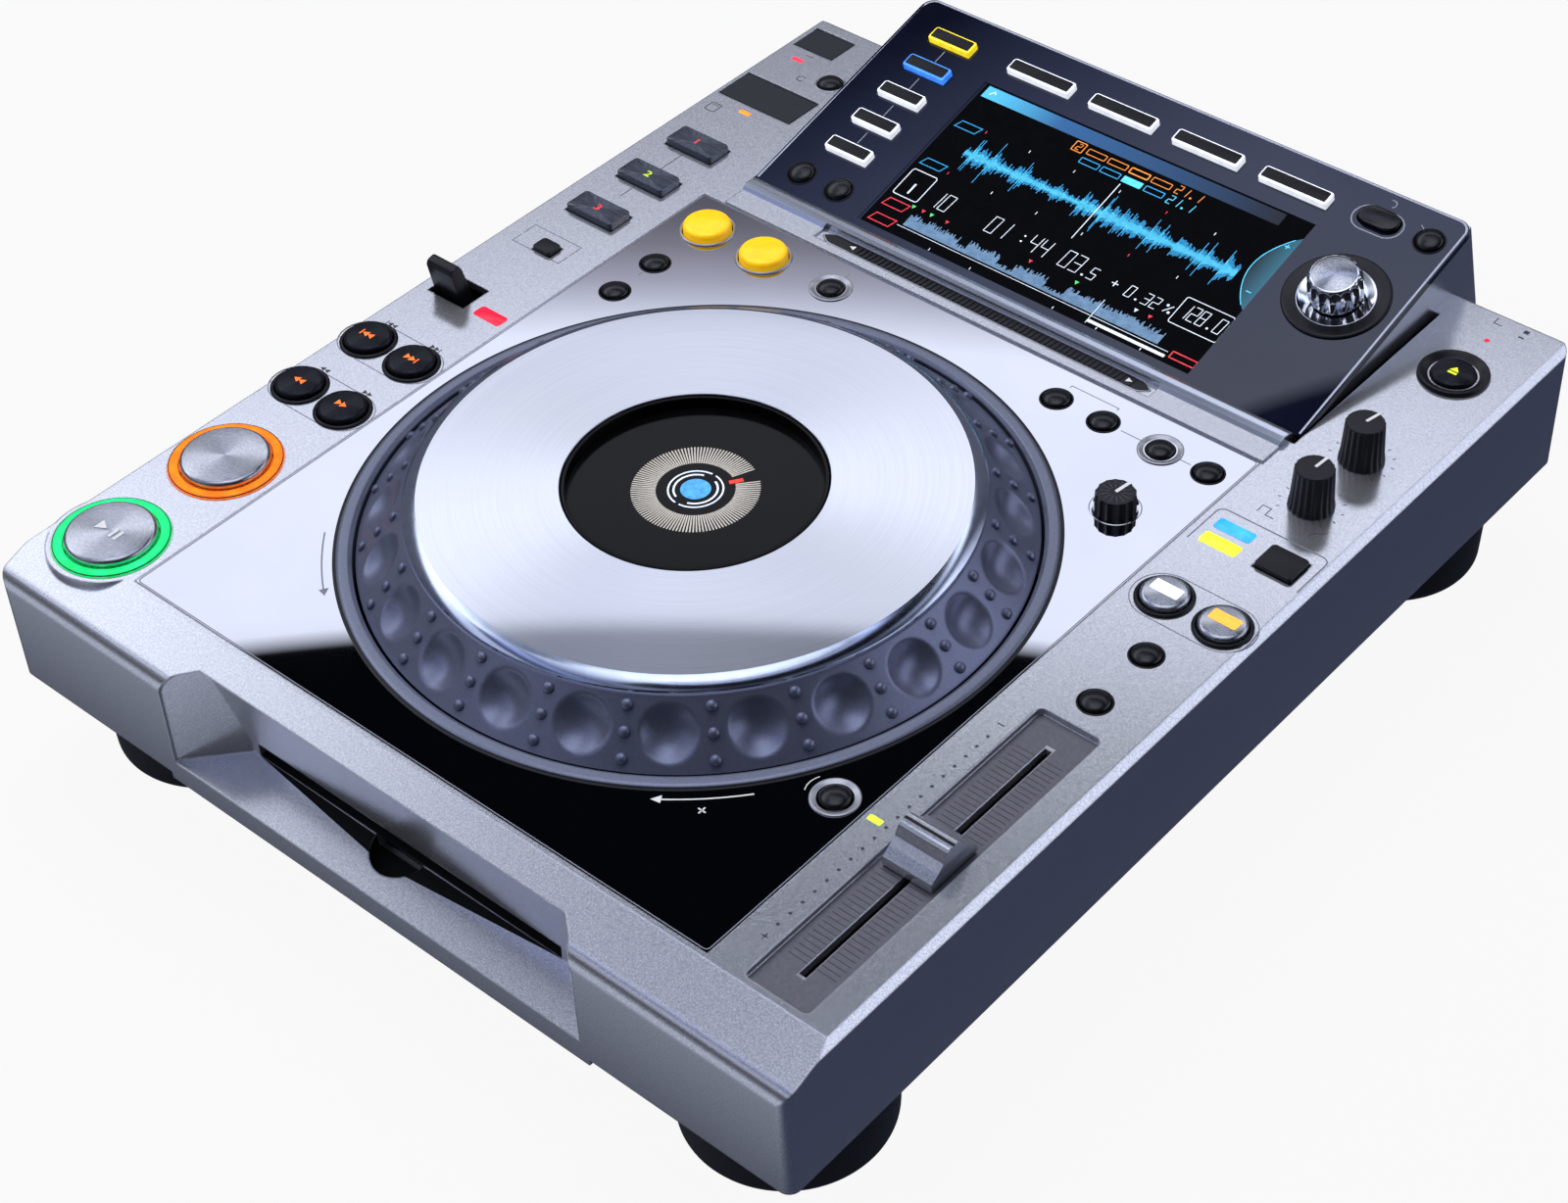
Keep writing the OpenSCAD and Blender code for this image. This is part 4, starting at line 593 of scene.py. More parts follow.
signs = [triangle(-141.6, -174, 3.6, 4.2)] + [rounded(x, -174, 1.1, 4.2, 0.1) for x in (-136.6, -134.4)]
set_in("play_sign", plates(signs, 2.9, 3.06), on_deck(), pale_symbol, "play_button")

# Search and track buttons: four small caps of black anodised aluminium, spun like the large ones, pressed
# on to plastic stems in black collars. Their signs are lit from below.
# black anodised aluminium, spun: dark, with the same fan of light
dark_spun = turned("black_anodised_aluminium", "#1C1D22", "#34363E", 0.32, 0.8, metal=0.9, vary=0.1)
# orange resin let into the cap: even glow
lit_orange = finish("lit_orange_sign", "#F05A14", "#FF7A2C", 0.3, grain=3, lit=0.85)
# moulded ABS: black, half gloss
black_abs = finish("moulded_black_abs", "#0C0D10", "#14151A", 0.34, grain=1.5, shader={"Specular IOR Level": 0.4})
pair_side = [(0, 2.6)] + softened([(5.8, 2.6), (7.2, 2.5), (7.95, 1.9), (8, -3), (0, -3)], 0.4)
collar_side = [(8.25, -0.6), (8.25, 0.5), (8.9, 0.9), (9.7, 0.4), (9.7, -0.6)]
for name, x, y in (("search_back", -148.45, -87.3), ("search_forward", -128.15, -87.3),
                   ("track_back", -148.45, -56.9), ("track_forward", -128.15, -56.9)):
    set_for(name, f"{name}_cap", lathe(pair_side, 64), on_deck(x, y), dark_spun)
    way = -1 if "back" in name else 1
    arrows = [triangle(x + way * dx, y, way * 2.2, 2.6) for dx in (-1.2, 1.0)]
    arrows += line([(x + way * 2.6, y - 1.3), (x + way * 2.6, y + 1.3)], 0.45) if "track" in name else []
    set_in(f"{name}_sign", plates(arrows, 2.45, 2.66), on_deck(), lit_orange, name)
    set_in(f"{name}_collar", hoop(collar_side, 0.25, 64), on_deck(x, y), black_abs)


# Hot cue, call and USB stop buttons: brushed, dyed aluminium faces on the hot cues, with lit numerals let
# into them, and black moulded caps on the small ones. The USB stop sits in a turned dish.
def numerals(text, x, y, tall, wide=1.0):
    """Plain figures as flat shapes, centred on a spot."""
    curve = bpy.data.curves.new("figures", "FONT")
    curve.body, curve.size = text, tall / 0.69
    curve.align_x, curve.align_y = "CENTER", "CENTER"
    holder = bpy.data.objects.new("figures", curve)
    bpy.context.collection.objects.link(holder)
    mesh = bpy.data.meshes.new_from_object(holder.evaluated_get(bpy.context.evaluated_depsgraph_get()))
    spots = [v.co.xy for v in mesh.vertices]
    middle = [(min(p[i] for p in spots) + max(p[i] for p in spots)) / 2 for i in (0, 1)]
    spots = [(x + (p.x - middle[0]) * wide, y + p.y - middle[1]) for p in spots]
    shapes = [[spots[i] for i in face.vertices] for face in mesh.polygons]
    bpy.data.objects.remove(holder)
    return shapes


# dyed aluminium, brushed round the middle: near black with two light fans
dark_brushed = turned("dyed_brushed_aluminium", "#50545F", "#8A8E9A", 0.42, 0.85, grain=0.4, vary=0.05, around=0.02)
cue_side = [(0, 2.6), (0.3, 2.6), (0.6, 2.6), (0.94, 2.6), (0.975, 2.45), (1.0, 2.0), (1.0, -3), (0, -3)]
red_cue = "#D8202C", "#FF4048"
for sign, name, y, tones in (
        ("1", "hot_cue_a", 92.9, red_cue), ("2", "hot_cue_b", 67.5, ("#A8C818", "#D8F030")),
        ("3", "hot_cue_c", 42.1, red_cue)):
    face = lathe(cue_side, 144, frame=(21.2, 10.4, 1.2))
    set_for(name, f"{name}_face", face, on_deck(left_x, y), dark_brushed)
    # coloured resin let into the face: even glow
    resin = finish(f"lit_figure_{sign}", *tones, 0.3, grain=3, lit=0.9)
    figure = plates(numerals(sign, left_x, y, 3.0, wide=1.3), 2.5, 2.66)
    set_in(f"{name}_figure", figure, on_deck(), resin, name)
call_face = plates([rounded(-137.7, 16, 7.8, 6.2, 0.8)], -3, 1.6, 0.35)
set_for("call_button", "call_face", call_face, on_deck(), black_abs)
# bright anodised aluminium: light silver cone, finely turned
bright_dish = turned("bright_anodised_aluminium", "#B4B6BE", "#C8CAD2", 0.34, 0.5, metal=0.8, grain=0.5, vary=0.04)
small_side = [(4.6 * sin(radians(9 * i)), 0.3 + 1.6 * cos(radians(9 * i))) for i in range(11)] + [(4.6, -3), (0, -3)]
# piano-black ABS: dark mirror with soft edges
gloss_black = finish("polished_black_abs", "#08090C", "#0E0F13", 0.24, grain=3, vary=0.02,
                     shader={"Specular IOR Level": 0.5})
set_for("usb_stop_button", "usb_stop_face", lathe(small_side, 48), on_deck(-127.7, 153), gloss_black)
stop_side = [(4.95, -0.5), (4.95, 0.1), (5.3, 0.3), (5.7, 0.1), (5.7, -0.5)]
set_in("usb_stop_dish", hoop(stop_side, 0.12, 48), on_deck(-127.7, 153), bright_dish)


# Direction lever and the two doors: moulded in black ABS. The lever stands in a slot and leans forward for
# reverse. The card door and the USB cover are flush flaps.
def across_deck(x, y, z, lean=0.0):
    """A frame whose flat shapes stand upright, from front to back, and whose thickness runs across."""
    upright = Matrix(((0, 0, 1, 0), (1, 0, 0, 0), (0, 1, 0, 0), (0, 0, 0, 1)))
    return on_table(x, y, z) @ Matrix.Rotation(radians(lean), 4, "X") @ upright


lever_side = [(-2.6, -2.6), (2.6, -2.6), (3, 7), (2.4, 19), (1.4, 20.2), (-1.4, 20.2), (-2.4, 19), (-3, 7)]
lever = plates([softened(lever_side, 1.2, closed=True)], 0, 11.6, 0.5)
set_for("direction_lever", "direction_lever_grip", lever, across_deck(-152.4, -18.4, 71.2, 13), black_abs)
# moulded ABS over a fine texture: dark, dull, a little blue
door_abs = finish("textured_black_abs", "#13151B", "#20232A", 0.36, grain=0.5, bump=0.01, edge=0.5)
for name in ("card_door", "usb_cover"):
    cover(name, door_abs)

# Centre plate: polished stainless steel under the jog wheel. It mirrors the softbox white and the card
# beside it black, and carries fine printed lines.
# polished plate: mirror, the slightest waviness
mirror = finish("polished_mirror_plate", "#B6B8C0", "#BCBEC6", 0.012, metal=1.0, grain=60, vary=0.004)
cover("center_plate", mirror)
# the line round the plate's edge is the same painted groove shade
plate_edge = [(-116.8, -181.7), (114.4, -181.7), (114.4, 72.9), (-116.8, 72.9)]
plate_edge = line(softened(plate_edge, 1.5, closed=True), 0.35, True)
set_in("plate_border", plates(plate_edge, -0.1, 0.04), on_deck(), painted_groove_shade)
# screen ink on the plate: grey behind, white in front, where it has to show on black
grey_ink = finish("grey_plate_ink", "#6E7280", "#7C8090", 0.5)
white_ink = finish("white_plate_ink", "#DDE0E8", "#E8EAF0", 0.5)
jog_x, jog_y, arrow_r = -1.2, -57.7, 114.4
grey_marks = dashes(0.3, (-103.2, 26.6, -103.2, 24.6), (-96, 58.2, -92, 58.2), (72, 59.2, 80, 59.2),
                    (94.6, 59.2, 98.8, 59.2))
grey_marks += line([(46.6, 66.4), (46.6, 67.6), (65.1, 67.6), (65.1, 66.4)], 0.3)
grey_marks += line([(-47.6, 67.2), (-47.6, 69.0)], 0.3)
white_marks = dashes(0.5, (77.9, -145, 80.7, -145), (79.3, -146.4, 79.3, -143.6))
white_marks += line(arc(102, -118, 6.6, 150, 210, 8), 0.3)
for tone, plate_ink, marks, start, end, way in (
        ("grey", grey_ink, grey_marks, 220, 234.5, -1), ("white", white_ink, white_marks, -40, -54.5, 1)):
    arrow = line(arc(jog_x, jog_y, arrow_r, start, end + 1.5 * way), 0.5)
    x, y = arc(jog_x, jog_y, arrow_r, end, end, 1)[0]
    arrow += [[(x, y), (x + 3.2 * way, y + 0.6), (x + 1.6 * way, y + 3.2)]]
    set_in(f"plate_print_{tone}", plates(arrow + marks, -0.1, 0.03), on_deck(), plate_ink)

# Jog wheel: a fixed bezel, a moulded dial with a ring of finger dimples, and a turned aluminium plate with
# a diamond-cut edge on it. The wheel runs on the hollow post that carries the display drum.
at_jog = on_deck(jog_x, jog_y)
# painted zinc ring: lavender grey, satin
bezel_paint = finish("satin_painted_zinc", "#747A90", "#80869C", 0.3, metal=0.6, grain=0.8)
bezel_side = [(110.3, 0), (110.2, 0.5), (109.3, 0.9), (106.6, 0.9), (105.3, -0.2), (105.2, -12), (108, -12), (108, 0)]
set_in("jog_bezel", hoop(bezel_side, 0.3, 256), at_jog, bezel_paint, stands_for=("jog_display",))
gap_line = [(110.2, -0.3), (110.2, 0.12), (111.3, 0.12), (111.3, -0.3)]
set_in("bezel_gasket", hoop(gap_line, 0.05, 256), at_jog, black_abs)

# the dial's slope, as (radius, height), and its dimples
inner, outer, rise = (88.5, 15.5), (104.3, -0.7), 26
dimple, dimple_reach, dimple_depth = Vector((96.2, 7.6)), 8.5, 3.1
around, dimples = 768, 24
pitch = around // dimples
slope = Vector((outer[0] - inner[0], outer[1] - inner[1]))
normal = Vector((-slope.y, slope.x)).normalized()
dial_bm = bmesh.new()
wall = [(103.6, -1.4), (103.2, -2.2), (103.2, -7), (86.2, -7), (86.2, 14.6), (87.0, 15.5)]
rings = []
for i in range(around):
    angle = tau * i / around
    beside = (i % pitch - pitch // 2) / around * tau
    ring_points = []
    for j in range(rise + 1):
        spot = Vector(inner) + slope * j / rise
        away = hypot(spot.x * sin(beside), (spot - dimple).dot(slope.normalized()))
        ring_points.append(spot - normal * dimple_depth * max(0.0, 1 - (away / dimple_reach) ** 2))
    ring_points += [Vector(p) for p in wall]
    rings.append([dial_bm.verts.new((p.x * cos(angle), p.x * sin(angle), p.y)) for p in ring_points])
for near, far in zip(rings, rings[1:] + rings[:1]):
    for j in range(len(near)):
        k = (j + 1) % len(near)
        dial_bm.faces.new((near[j], near[k], far[k], far[j]))
bmesh.ops.recalc_face_normals(dial_bm, faces=dial_bm.faces)
# painted ABS: blue grey with a soft metallic light
dial_paint = finish("metallic_grey_dial_paint", "#747A94", "#7E84A0", 0.36, metal=0.7, grain=0.8, vary=0.03)
set_in("jog_dial_ring", meshed(dial_bm), at_jog, dial_paint, "jog_wheel", ("jog_dial",), sharp=50)
pip = lathe([(0, 1.5), (0.8, 1.4), (1.5, 0.95), (1.8, 0.2), (1.8, -0.2), (0, -0.2)], 20)
for k, share in enumerate((0.16, 0.5, 0.84)):
    spot = Vector(inner) + slope * share
    one = pip.copy()
    one.transform(Matrix.Translation((spot.x, 0, spot.y)) @ Matrix.Rotation(atan2(normal.x, normal.y), 4, "Y"))
    pips = row(one, dial_paint, dimples, turn=(0, 0, tau / dimples))
    set_in(f"dial_pips_{k + 1}", pips, at_jog, dial_paint, "jog_wheel")

# turned aluminium, clear anodised: very fine circles, the light fans out from the middle
turned_plate = turned("turned_clear_anodised_aluminium", "#D6D9E3", "#E1E4EC", 0.29, 0.85, grain=0.6, vary=0.01,
                      around=0.003, twin=(0.38, 0.03))
top_side = [(40.9, 17), (40.9, 18.75), (41.1, 18.9), (84.1, 18.9), (84.1, 17)]
set_in("jog_top", lathe(top_side, 256, ring=True), at_jog, turned_plate, "jog_wheel", ("jog_plate",))
# diamond-cut and polished aluminium: deep mirror with a blue cast
cut_edge = finish("diamond_cut_aluminium", "#CCD6EC", "#D8E2F6", 0.15, metal=1.0, grain=4, vary=0.02)
edge_side = [(84.1, 15.2), (84.1, 18.85)]
for i in range(12):
    edge_side.append((edge_side[-1][0] + 0.36, edge_side[-1][1] - 0.36 * tan(radians(14 + 2.4 * i))))
edge_side += [(88.5, edge_side[-1][1] - 0.3), (88.5, 15.2)]
set_in("jog_top_edge", lathe(edge_side, 256, ring=True), at_jog, cut_edge, "jog_wheel")

# Jog display: a round window of smoked acrylic on the drum, over a lit ring of ticks, a position mark and
# a blue centre.
# smoked acrylic: black, soft gloss
smoked = finish("smoked_acrylic", "#040405", "#070709", 0.2, grain=8, vary=0.02, shader={"Specular IOR Level": 0.15})
drum_side = [(0, 15), (38.9, 15)] + softened([(39, 15), (39.3, 18.62), (40.45, 18.62), (40.45, 8)], 0.25) + [(0, 8)]
set_in("drum_window", lathe(drum_side, 192), at_jog, smoked, stands_for=("jog_display",))


def lit_shapes(name, shapes, dark, light, glow, place, low, high):
    """Lit parts of a display: each glows through the glass with a faint grain of its own."""
    glass = finish(f"display_{name}", dark, light, 0.2, grain=2.0, lit=glow)
    set_in(name, plates(shapes, low, high), place, glass)


drum_print = 15.02, 15.1
ticks = row(plates([rounded(15.9, 0, 7.6, 0.45, 0.1, 1)], *drum_print), white_ink, 115, turn=(0, 0, radians(3.0)))
ticks.transform(Matrix.Rotation(radians(67), 4, "Z"))
# diffusing film, dimly lit: warm grey
lit_grey = finish("display_tick_grey", "#ACA8A4", "#C4C0BA", 0.3, lit=0.35)
set_in("drum_ticks", ticks, at_jog, lit_grey)
lit_shapes("drum_mark", line([(5.9, 8.6), (8.4, 12.2)], 1.5), "#E02010", "#FF3820", 0.9, at_jog, *drum_print)
drum_arcs = []
for r, start, end, width in ((6.7, 110, 250, 0.6), (6.7, -70, 70, 0.6), (8.4, 95, 265, 0.5), (8.4, -85, 85, 0.5)):
    drum_arcs += line(arc(0, 0, r, start, end), width)
lit_shapes("drum_arcs", drum_arcs, "#C8D8F0", "#E4F0FF", 0.7, at_jog, *drum_print)
lit_shapes("drum_centre", [arc(0, 0, 4.7, 0, 360, 40)], "#2C78B0", "#48A0D8", 0.8, at_jog, *drum_print)

# Plate buttons: polished black caps, two in yellow for the loop, some in turned dishes, and the jog adjust
# knob. All press through holes in the plate.
# polished yellow ABS, lit a little from below: deep, even yellow
yellow_abs = finish("polished_yellow_abs", "#FFBE00", "#FFCC08", 0.3, grain=4, lit=0.36,
                    shader={"Coat Weight": 0.3, "Coat Roughness": 0.2})
loop_side = [(0, 3.5)] + softened([(6.4, 3.48), (7.7, 3.2), (8.3, 2.4), (8.4, 0.4), (8.4, -3), (0, -3)], 0.7)
loop_ring = [(8.75, -0.6), (8.75, 0.3), (9.3, 0.75), (9.9, 0.3), (9.9, -0.6)]
for name, x, y in (("loop_in", -102.2, 58.2), ("loop_out", -76.6, 58.2)):
    set_for(f"{name}_button", f"{name}_cap", lathe(loop_side, 72), on_deck(x, y), yellow_abs)
    set_in(f"{name}_ring", hoop(loop_ring, 0.2, 72), on_deck(x, y), bright_dish)
dish_side = [(4.95, -0.5), (4.95, -0.15), (6.9, 0.5), (7.4, 0.35), (7.4, -0.5)]
plain_ring = [(4.95, -0.6), (4.95, 0.15), (5.25, 0.3), (5.6, 0.1), (5.6, -0.6)]


def small_button(name, place, dished=0):
    """A small domed cap in a plain moulded ring or a turned dish."""
    set_for(f"{name}_button", f"{name}_cap", lathe(small_side, 48), place, gloss_black)
    if dished:
        set_in(f"{name}_dish", hoop(dish_side, 0.2, 64), place, bright_dish)
    else:
        set_in(f"{name}_ring", hoop(plain_ring, 0.1, 48), place, black_abs)


for name, x, y, dished in (
        ("reloop", -47.6, 59.2, 1), ("loop_mode", -103.2, 32.9, 0), ("slip", -103.2, 13.1, 0),
        ("call_previous", 46.6, 59.2, 0), ("call_next", 65.1, 59.2, 0), ("delete", 87.2, 59.2, 1),
        ("memory", 105.2, 59.2, 0), ("tempo_reset", 104.8, -118.2, 1)):
    small_button(name, on_deck(x, y), dished)


def fluted(levels, count, power=1.0):
    """A knob of (height, radius, flute depth) levels, from the top down, with flutes cut round it."""
    bm = bmesh.new()
    rings, steps = [], 8
    for z, r, depth in levels:
        rings.append([])
        for i in range(count * steps):
            angle = tau * i / (count * steps)
            reach = r - depth * sin(pi * (i % steps) / steps) ** power
            rings[-1].append(bm.verts.new((reach * cos(angle), reach * sin(angle), z)))
    for upper, lower in zip(rings, rings[1:]):
        for i in range(len(upper)):
            k = (i + 1) % len(upper)
            bm.faces.new((upper[i], lower[i], lower[k], upper[k]))
    bm.faces.new(rings[0])
    bm.faces.new(rings[-1][::-1])
    bmesh.ops.recalc_face_normals(bm, faces=bm.faces)
    return meshed(bm)


# moulded ABS over a fine spark-eroded texture: matt black
knob_abs = finish("matt_black_abs", "#101116", "#1B1C22", 0.42, grain=0.9, bump=0.008)
adjust_levels = [(6.5, 5.3, 0), (6.45, 6.1, 0.2), (6.1, 6.4, 0.5), (5.6, 6.5, 0.7), (0.3, 6.6, 0.8), (-3, 6.6, 0.5)]
at_adjust = on_deck(92.6, 28.3)
set_for("jog_adjust_knob", "jog_adjust_grip", fluted(adjust_levels, 14), at_adjust, knob_abs)
# pad print: dark grey, matt
grey_ribs = finish("grey_pad_print", "#3C3E46", "#4A4C56", 0.4)
adjust_ring = [(6.75, -0.3), (6.75, 0.06), (7.9, 0.16), (8.2, 0.04), (8.2, -0.3)]
set_in("jog_adjust_dish", hoop(adjust_ring, 0.05, 64), at_adjust, mirror)
ribs = row(plates([rounded(3.6, 0, 3.2, 0.22, 0.1, 2)], 6.4, 6.56), grey_ribs, 14, turn=(0, 0, tau / 14))
set_in("jog_adjust_ribs", ribs, at_adjust, grey_ribs, "jog_adjust_knob")
pointer = plates([rounded(0, 3.1, 1.2, 6.4, 0.3, 2)], 6.45, 6.7)
pointed = at_adjust @ Matrix.Rotation(radians(-8), 4, "Z")
set_in("jog_adjust_pointer", pointer, pointed, white_ink, "jog_adjust_knob")

# Display housing: a moulded wedge in the same paint as the cover, with a polished bar in front of the
# panel, and a ribbed rubber touch strip in the bar's seat.
# the same paint, with its front bar polished: brighter and sharper there
housing_paint = finish("metallic_silver_housing_paint", "#C2C6D2", "#ECEEF5", 0.25, metal=0.84, grain=0.45, bump=0.003,
                       vary=0.05, edge=0.8, zone=(1, 0.0826, 0.0916, 0.12, "#B6BCCA"))
cover("display_housing", housing_paint)
# silicone rubber: black, satin
strip_back = finish("strip_rubber", "#0C0D11", "#15161B", 0.35, grain=1.0)
# satin clear anodised trim: pale, soft reflections
trim = finish("satin_anodised_trim", "#B4B8C6", "#CACDD9", 0.3, metal=0.7, grain=0.8)
strip_seat = [(-70, 80.9), (-66, 77.9), (64.4, 77.9), (68.4, 80.9), (64.4, 83.9), (-66, 83.9)]
strip = plates([softened(strip_seat, 1.5, closed=True)], -0.2, 0.02)
set_in("touch_strip", strip, on_deck(), strip_back)
strip_rim = [(-69.5, 80.9), (-65.6, 78.2), (64, 78.2), (67.9, 80.9), (64, 83.6), (-65.6, 83.6)]
strip_rim = plates(line(softened(strip_rim, 1.5, closed=True), 0.4, True), -0.1, 0.12)
set_in("touch_strip_rim", strip_rim, on_deck(), trim)
pad = plates([rounded(1.5, 80.9, 119, 5, 1.2)], -0.1, 0.25, 0.1)
set_in("touch_strip_pad", pad, on_deck(), strip_back)
ribs = row(plates([rounded(0, 80.9, 1.1, 4.2, 0.4, 2)], 0.2, 0.6, 0.15), strip_back, 56, (-53.5, 0, 0), (2.0, 0, 0))
set_in("touch_strip_ribs", ribs, on_deck(), strip_back)
strip_marks = [[(-55.4, 82), (-57.6, 80.9), (-55.4, 79.8)], [(58.4, 82), (60.6, 80.9), (58.4, 79.8)]]
set_in("touch_strip_marks", plates(strip_marks, 0.2, 0.3), on_deck(), white_ink)

# Display panel: clear acrylic, painted black behind and polished, with the screen bonded in its window.
# The acrylic shows the softbox as a blue-grey veil.
panel_foot, panel_tilt = (3.8, 91.5, 78.4), radians(14.75)


def on_panel(u=0, v=0, z=0):
    return on_table(*panel_foot) @ Matrix.Rotation(panel_tilt, 4, "X") @ Matrix.Translation((u, v, z))


panel_acrylic = finish("back_painted_acrylic", "#0D1020", "#121528", 0.012, grain=30, vary=0.004, shader={"IOR": 1.52})
cover("display_panel", panel_acrylic)
# screen ink under the lacquer: pale blue grey
pale_ink = finish("pale_panel_ink", "#8E93A6", "#9CA1B4", 0.5)
source_pitch, browse_pitch = 14.9, 35.4
panel_print = dashes(0.3, *[(-91.5, 80.9 - source_pitch * i, -91.5, 75.2 - source_pitch * i) for i in range(4)])
panel_print += line(pill(85.45, 86.9, 18.4, 10.8), 0.45, True)
panel_print += line([(98.6, 92.6), (101.4, 90.4)], 0.3) + line(arc(85.4, 95.6, 1.6, -60, 120, 10), 0.35)
set_in("panel_print", plates(panel_print, -0.05, 0.03), on_panel(), pale_ink)
panel_edge = [(-112.9, 0.8), (-112.9, 96.2)] + arc(-108.5, 95.6, 4.4, 180, 90, 8)
panel_edge += arc(108.5, 95.6, 4.4, 90, 0, 8) + [(112.9, 0.8)]
set_in("panel_edge_light", plates(line(panel_edge, 0.7), -0.1, 0.06), on_panel(), trim)

# Screen: a colour display bonded behind the acrylic. It shows plain figures, level bars and a waveform,
# each colour as one thin glowing layer on the black polariser.
# display polariser: deep black, hardly any gloss
polariser = finish("display_polariser", "#030304", "#050507", 0.25, grain=5, shader={"Specular IOR Level": 0.03})
screen_glass = plates([rounded(0.55, 39.4, 137.7, 74.6, 0.6)], -0.3, -0.12)
set_in("screen_glass", screen_glass, on_panel(), polariser)


def segments(text, u, v, tall, wide, pitch, weight=0.27):
    """Seven-stroke figures of a display, leaning a little, centred on a spot."""
    strokes = {"a": ((0, 1), (1, 1)), "b": ((1, 1), (1, 0.5)), "c": ((1, 0.5), (1, 0)), "d": ((0, 0), (1, 0)),
               "e": ((0, 0.5), (0, 0)), "f": ((0, 1), (0, 0.5)), "g": ((0, 0.5), (1, 0.5))}
    lit = {"0": "abcdef", "1": "bc", "2": "abged", "3": "abgcd", "4": "fgbc", "5": "afgcd", "8": "abcdefg"}
    shapes = []
    for i, figure in enumerate(text):
        left = u + (i - (len(text) - 1) / 2) * pitch - wide / 2
        if figure == ".":
            shapes.append(rounded(left + wide / 2, v - tall / 2 + 0.4, 0.8, 0.8, 0.2, 2))
        for name in lit.get(figure, ""):
            ends = [(left + x * wide + (y - 0.5) * 0.5, v + (y - 0.5) * tall) for x, y in strokes[name]]
            shapes += line(ends, weight)
    return shapes


draw = random.Random(11)
cyan, blue, white, orange, red, green, pale = [], [], [], [], [], [], []
bars = (("head", -66.8, -34, "#3EA4CC", "#154878"), ("tail", -34, 58, "#154878", "#04060C"))
for name, start, end, light, dark in bars:
    # display layer: glows, and fades to the right
    fade = 0, (start + panel_foot[0]) / 1000, (end + panel_foot[0]) / 1000
    tint = finish(f"display_title_{name}", light, dark, 0.3, lit=0.8, fade=fade)
    bar = plates([[(start, 69.8), (end, 69.8), (end, 75.2), (start, 75.2)]], -0.13, -0.1)
    set_in(f"screen_title_{name}", bar, on_panel(), tint)
white += line([(-64.6, 71.6), (-63.2, 73.6), (-62.2, 72.6)], 0.4)
orange += line(rounded(-21.5, 66.7, 4.2, 4.3, 0.3), 0.35, True) + segments("2", -21.5, 66.7, 2.6, 1.4, 2)
orange += segments("21.1", 24.2, 67, 3.6, 1.7, 2.7)
cyan += segments("21.1", 24.2, 62, 3.6, 1.7, 2.7)
for i, u in enumerate((-13.85, -4.95, 4.15, 13.25)):
    orange += line(rounded(u, 66.55, 7.6, 2.4, 0.3), 0.5 if i == 2 else 0.3, True)
    cyan += [rounded(u, 62.1, 7.9, 2.8, 0.3)] if i == 2 else []
    blue += [] if i == 2 else line(rounded(u, 62.1, 7.6, 2.4, 0.3), 0.35, True)
for tone, v, half, weight in (
        (blue, 55.6, 1.6, 0.35), (blue, 35.6, 1.6, 0.35), (red, 14.45, 1.75, 0.4), (red, 6.75, 1.75, 0.4)):
    tone += line([(-66.3, v - half), (-57.6, v - half), (-56.3, v + half), (-65, v + half)], weight, True)
beats = ((-53, 10), (-50, 7), (-44.5, 9), (-40, 2.5), (-34.5, 7.5), (-31, 6), (-24, 2.5), (-17, 3),
         (-6, 8), (-3, 6), (3, 9.6), (6.3, 6), (10, 8), (14, 7), (17, 5), (22.3, 9),
         (26, 6), (33, 7.5), (37, 3), (42, 9), (45, 6), (52.2, 7), (56, 5))
wave, ground = 45.7, 8.3
for i in range(252):
    u = -55.3 + i * 0.45
    floor_level = 1.1 + 1.9 * draw.random() ** 2
    beat = max([size * exp(-(u - b) / 2.0) for b, size in beats if 0 <= u - b < 7] + [0])
    level = floor_level + beat * (0.4 + 0.6 * draw.random() ** 2)
    for part, low, high in ((blue, -1, -0.46), (cyan, -0.45, 0.45), (blue, 0.46, 1)):
        low, high = wave + level * low, wave + level * high
        part.append([(u, low), (u + 0.27, low), (u + 0.27, high), (u, high)])
for u, tone in ((-54.3, red), (-35.3, white), (-16.2, white), (3, white), (22.3, red), (42, white)):
    tone += dashes(0.3, (u, 56, u, 57.2), (u, 34.3, u, 35.5))
white += line([(1, 31.7), (1, 59.6)], 0.35) + line(rounded(-60.95, 24.75, 10.5, 12.5, 1), 0.35, True)
white += numerals("1", -61, 22.9, 5.0)
for text, u in (("10", -48.1), ("01", -23.5), ("44", -6.3), ("03", 7.6)):
    white += segments(text, u, 23.5, 7.3, 3.1, 4.4)
white += segments(".5", 15.2, 22.4, 5, 2.4, 3.2) + [rounded(-13.2, v, 0.7, 0.7, 0.2, 2) for v in (22.2, 24.8)]
white += dashes(0.4, (24.4, 22.6, 27, 22.6), (25.7, 21.3, 25.7, 23.9))
white += segments("0.32", 37.2, 22.3, 4.8, 2.2, 3.4) + line([(46, 20.6), (48.6, 24)], 0.35)
white += [rounded(46.4, 23.6, 1, 1, 0.4), rounded(48.2, 21, 1, 1, 0.4)]
white += line(rounded(59.4, 23.9, 18.8, 11.8, 0.8), 0.3, True) + segments("128.0", 59.6, 24.4, 6.2, 2.4, 3.4)
for u, tone in ((-55.3, green), (-47.4, green), (14.2, green), (-51, red), (-40.7, red), (-5, red), (44, red),
                (38.4, white)):
    tone.append([(u - 0.8, 17.2), (u, 15.7), (u + 0.8, 17.2)])
for i in range(266):
    u = -53.5 + i * 0.4
    dip = any(a <= u <= b for a, b in ((-32, -28), (-15, -8), (5, 13)))
    high = ground + (1.0 + 1.6 * draw.random() if dip else 3.4 + 2.6 * draw.random())
    pale.append([(u, ground), (u + 0.32, ground), (u + 0.32, high), (u, high)])
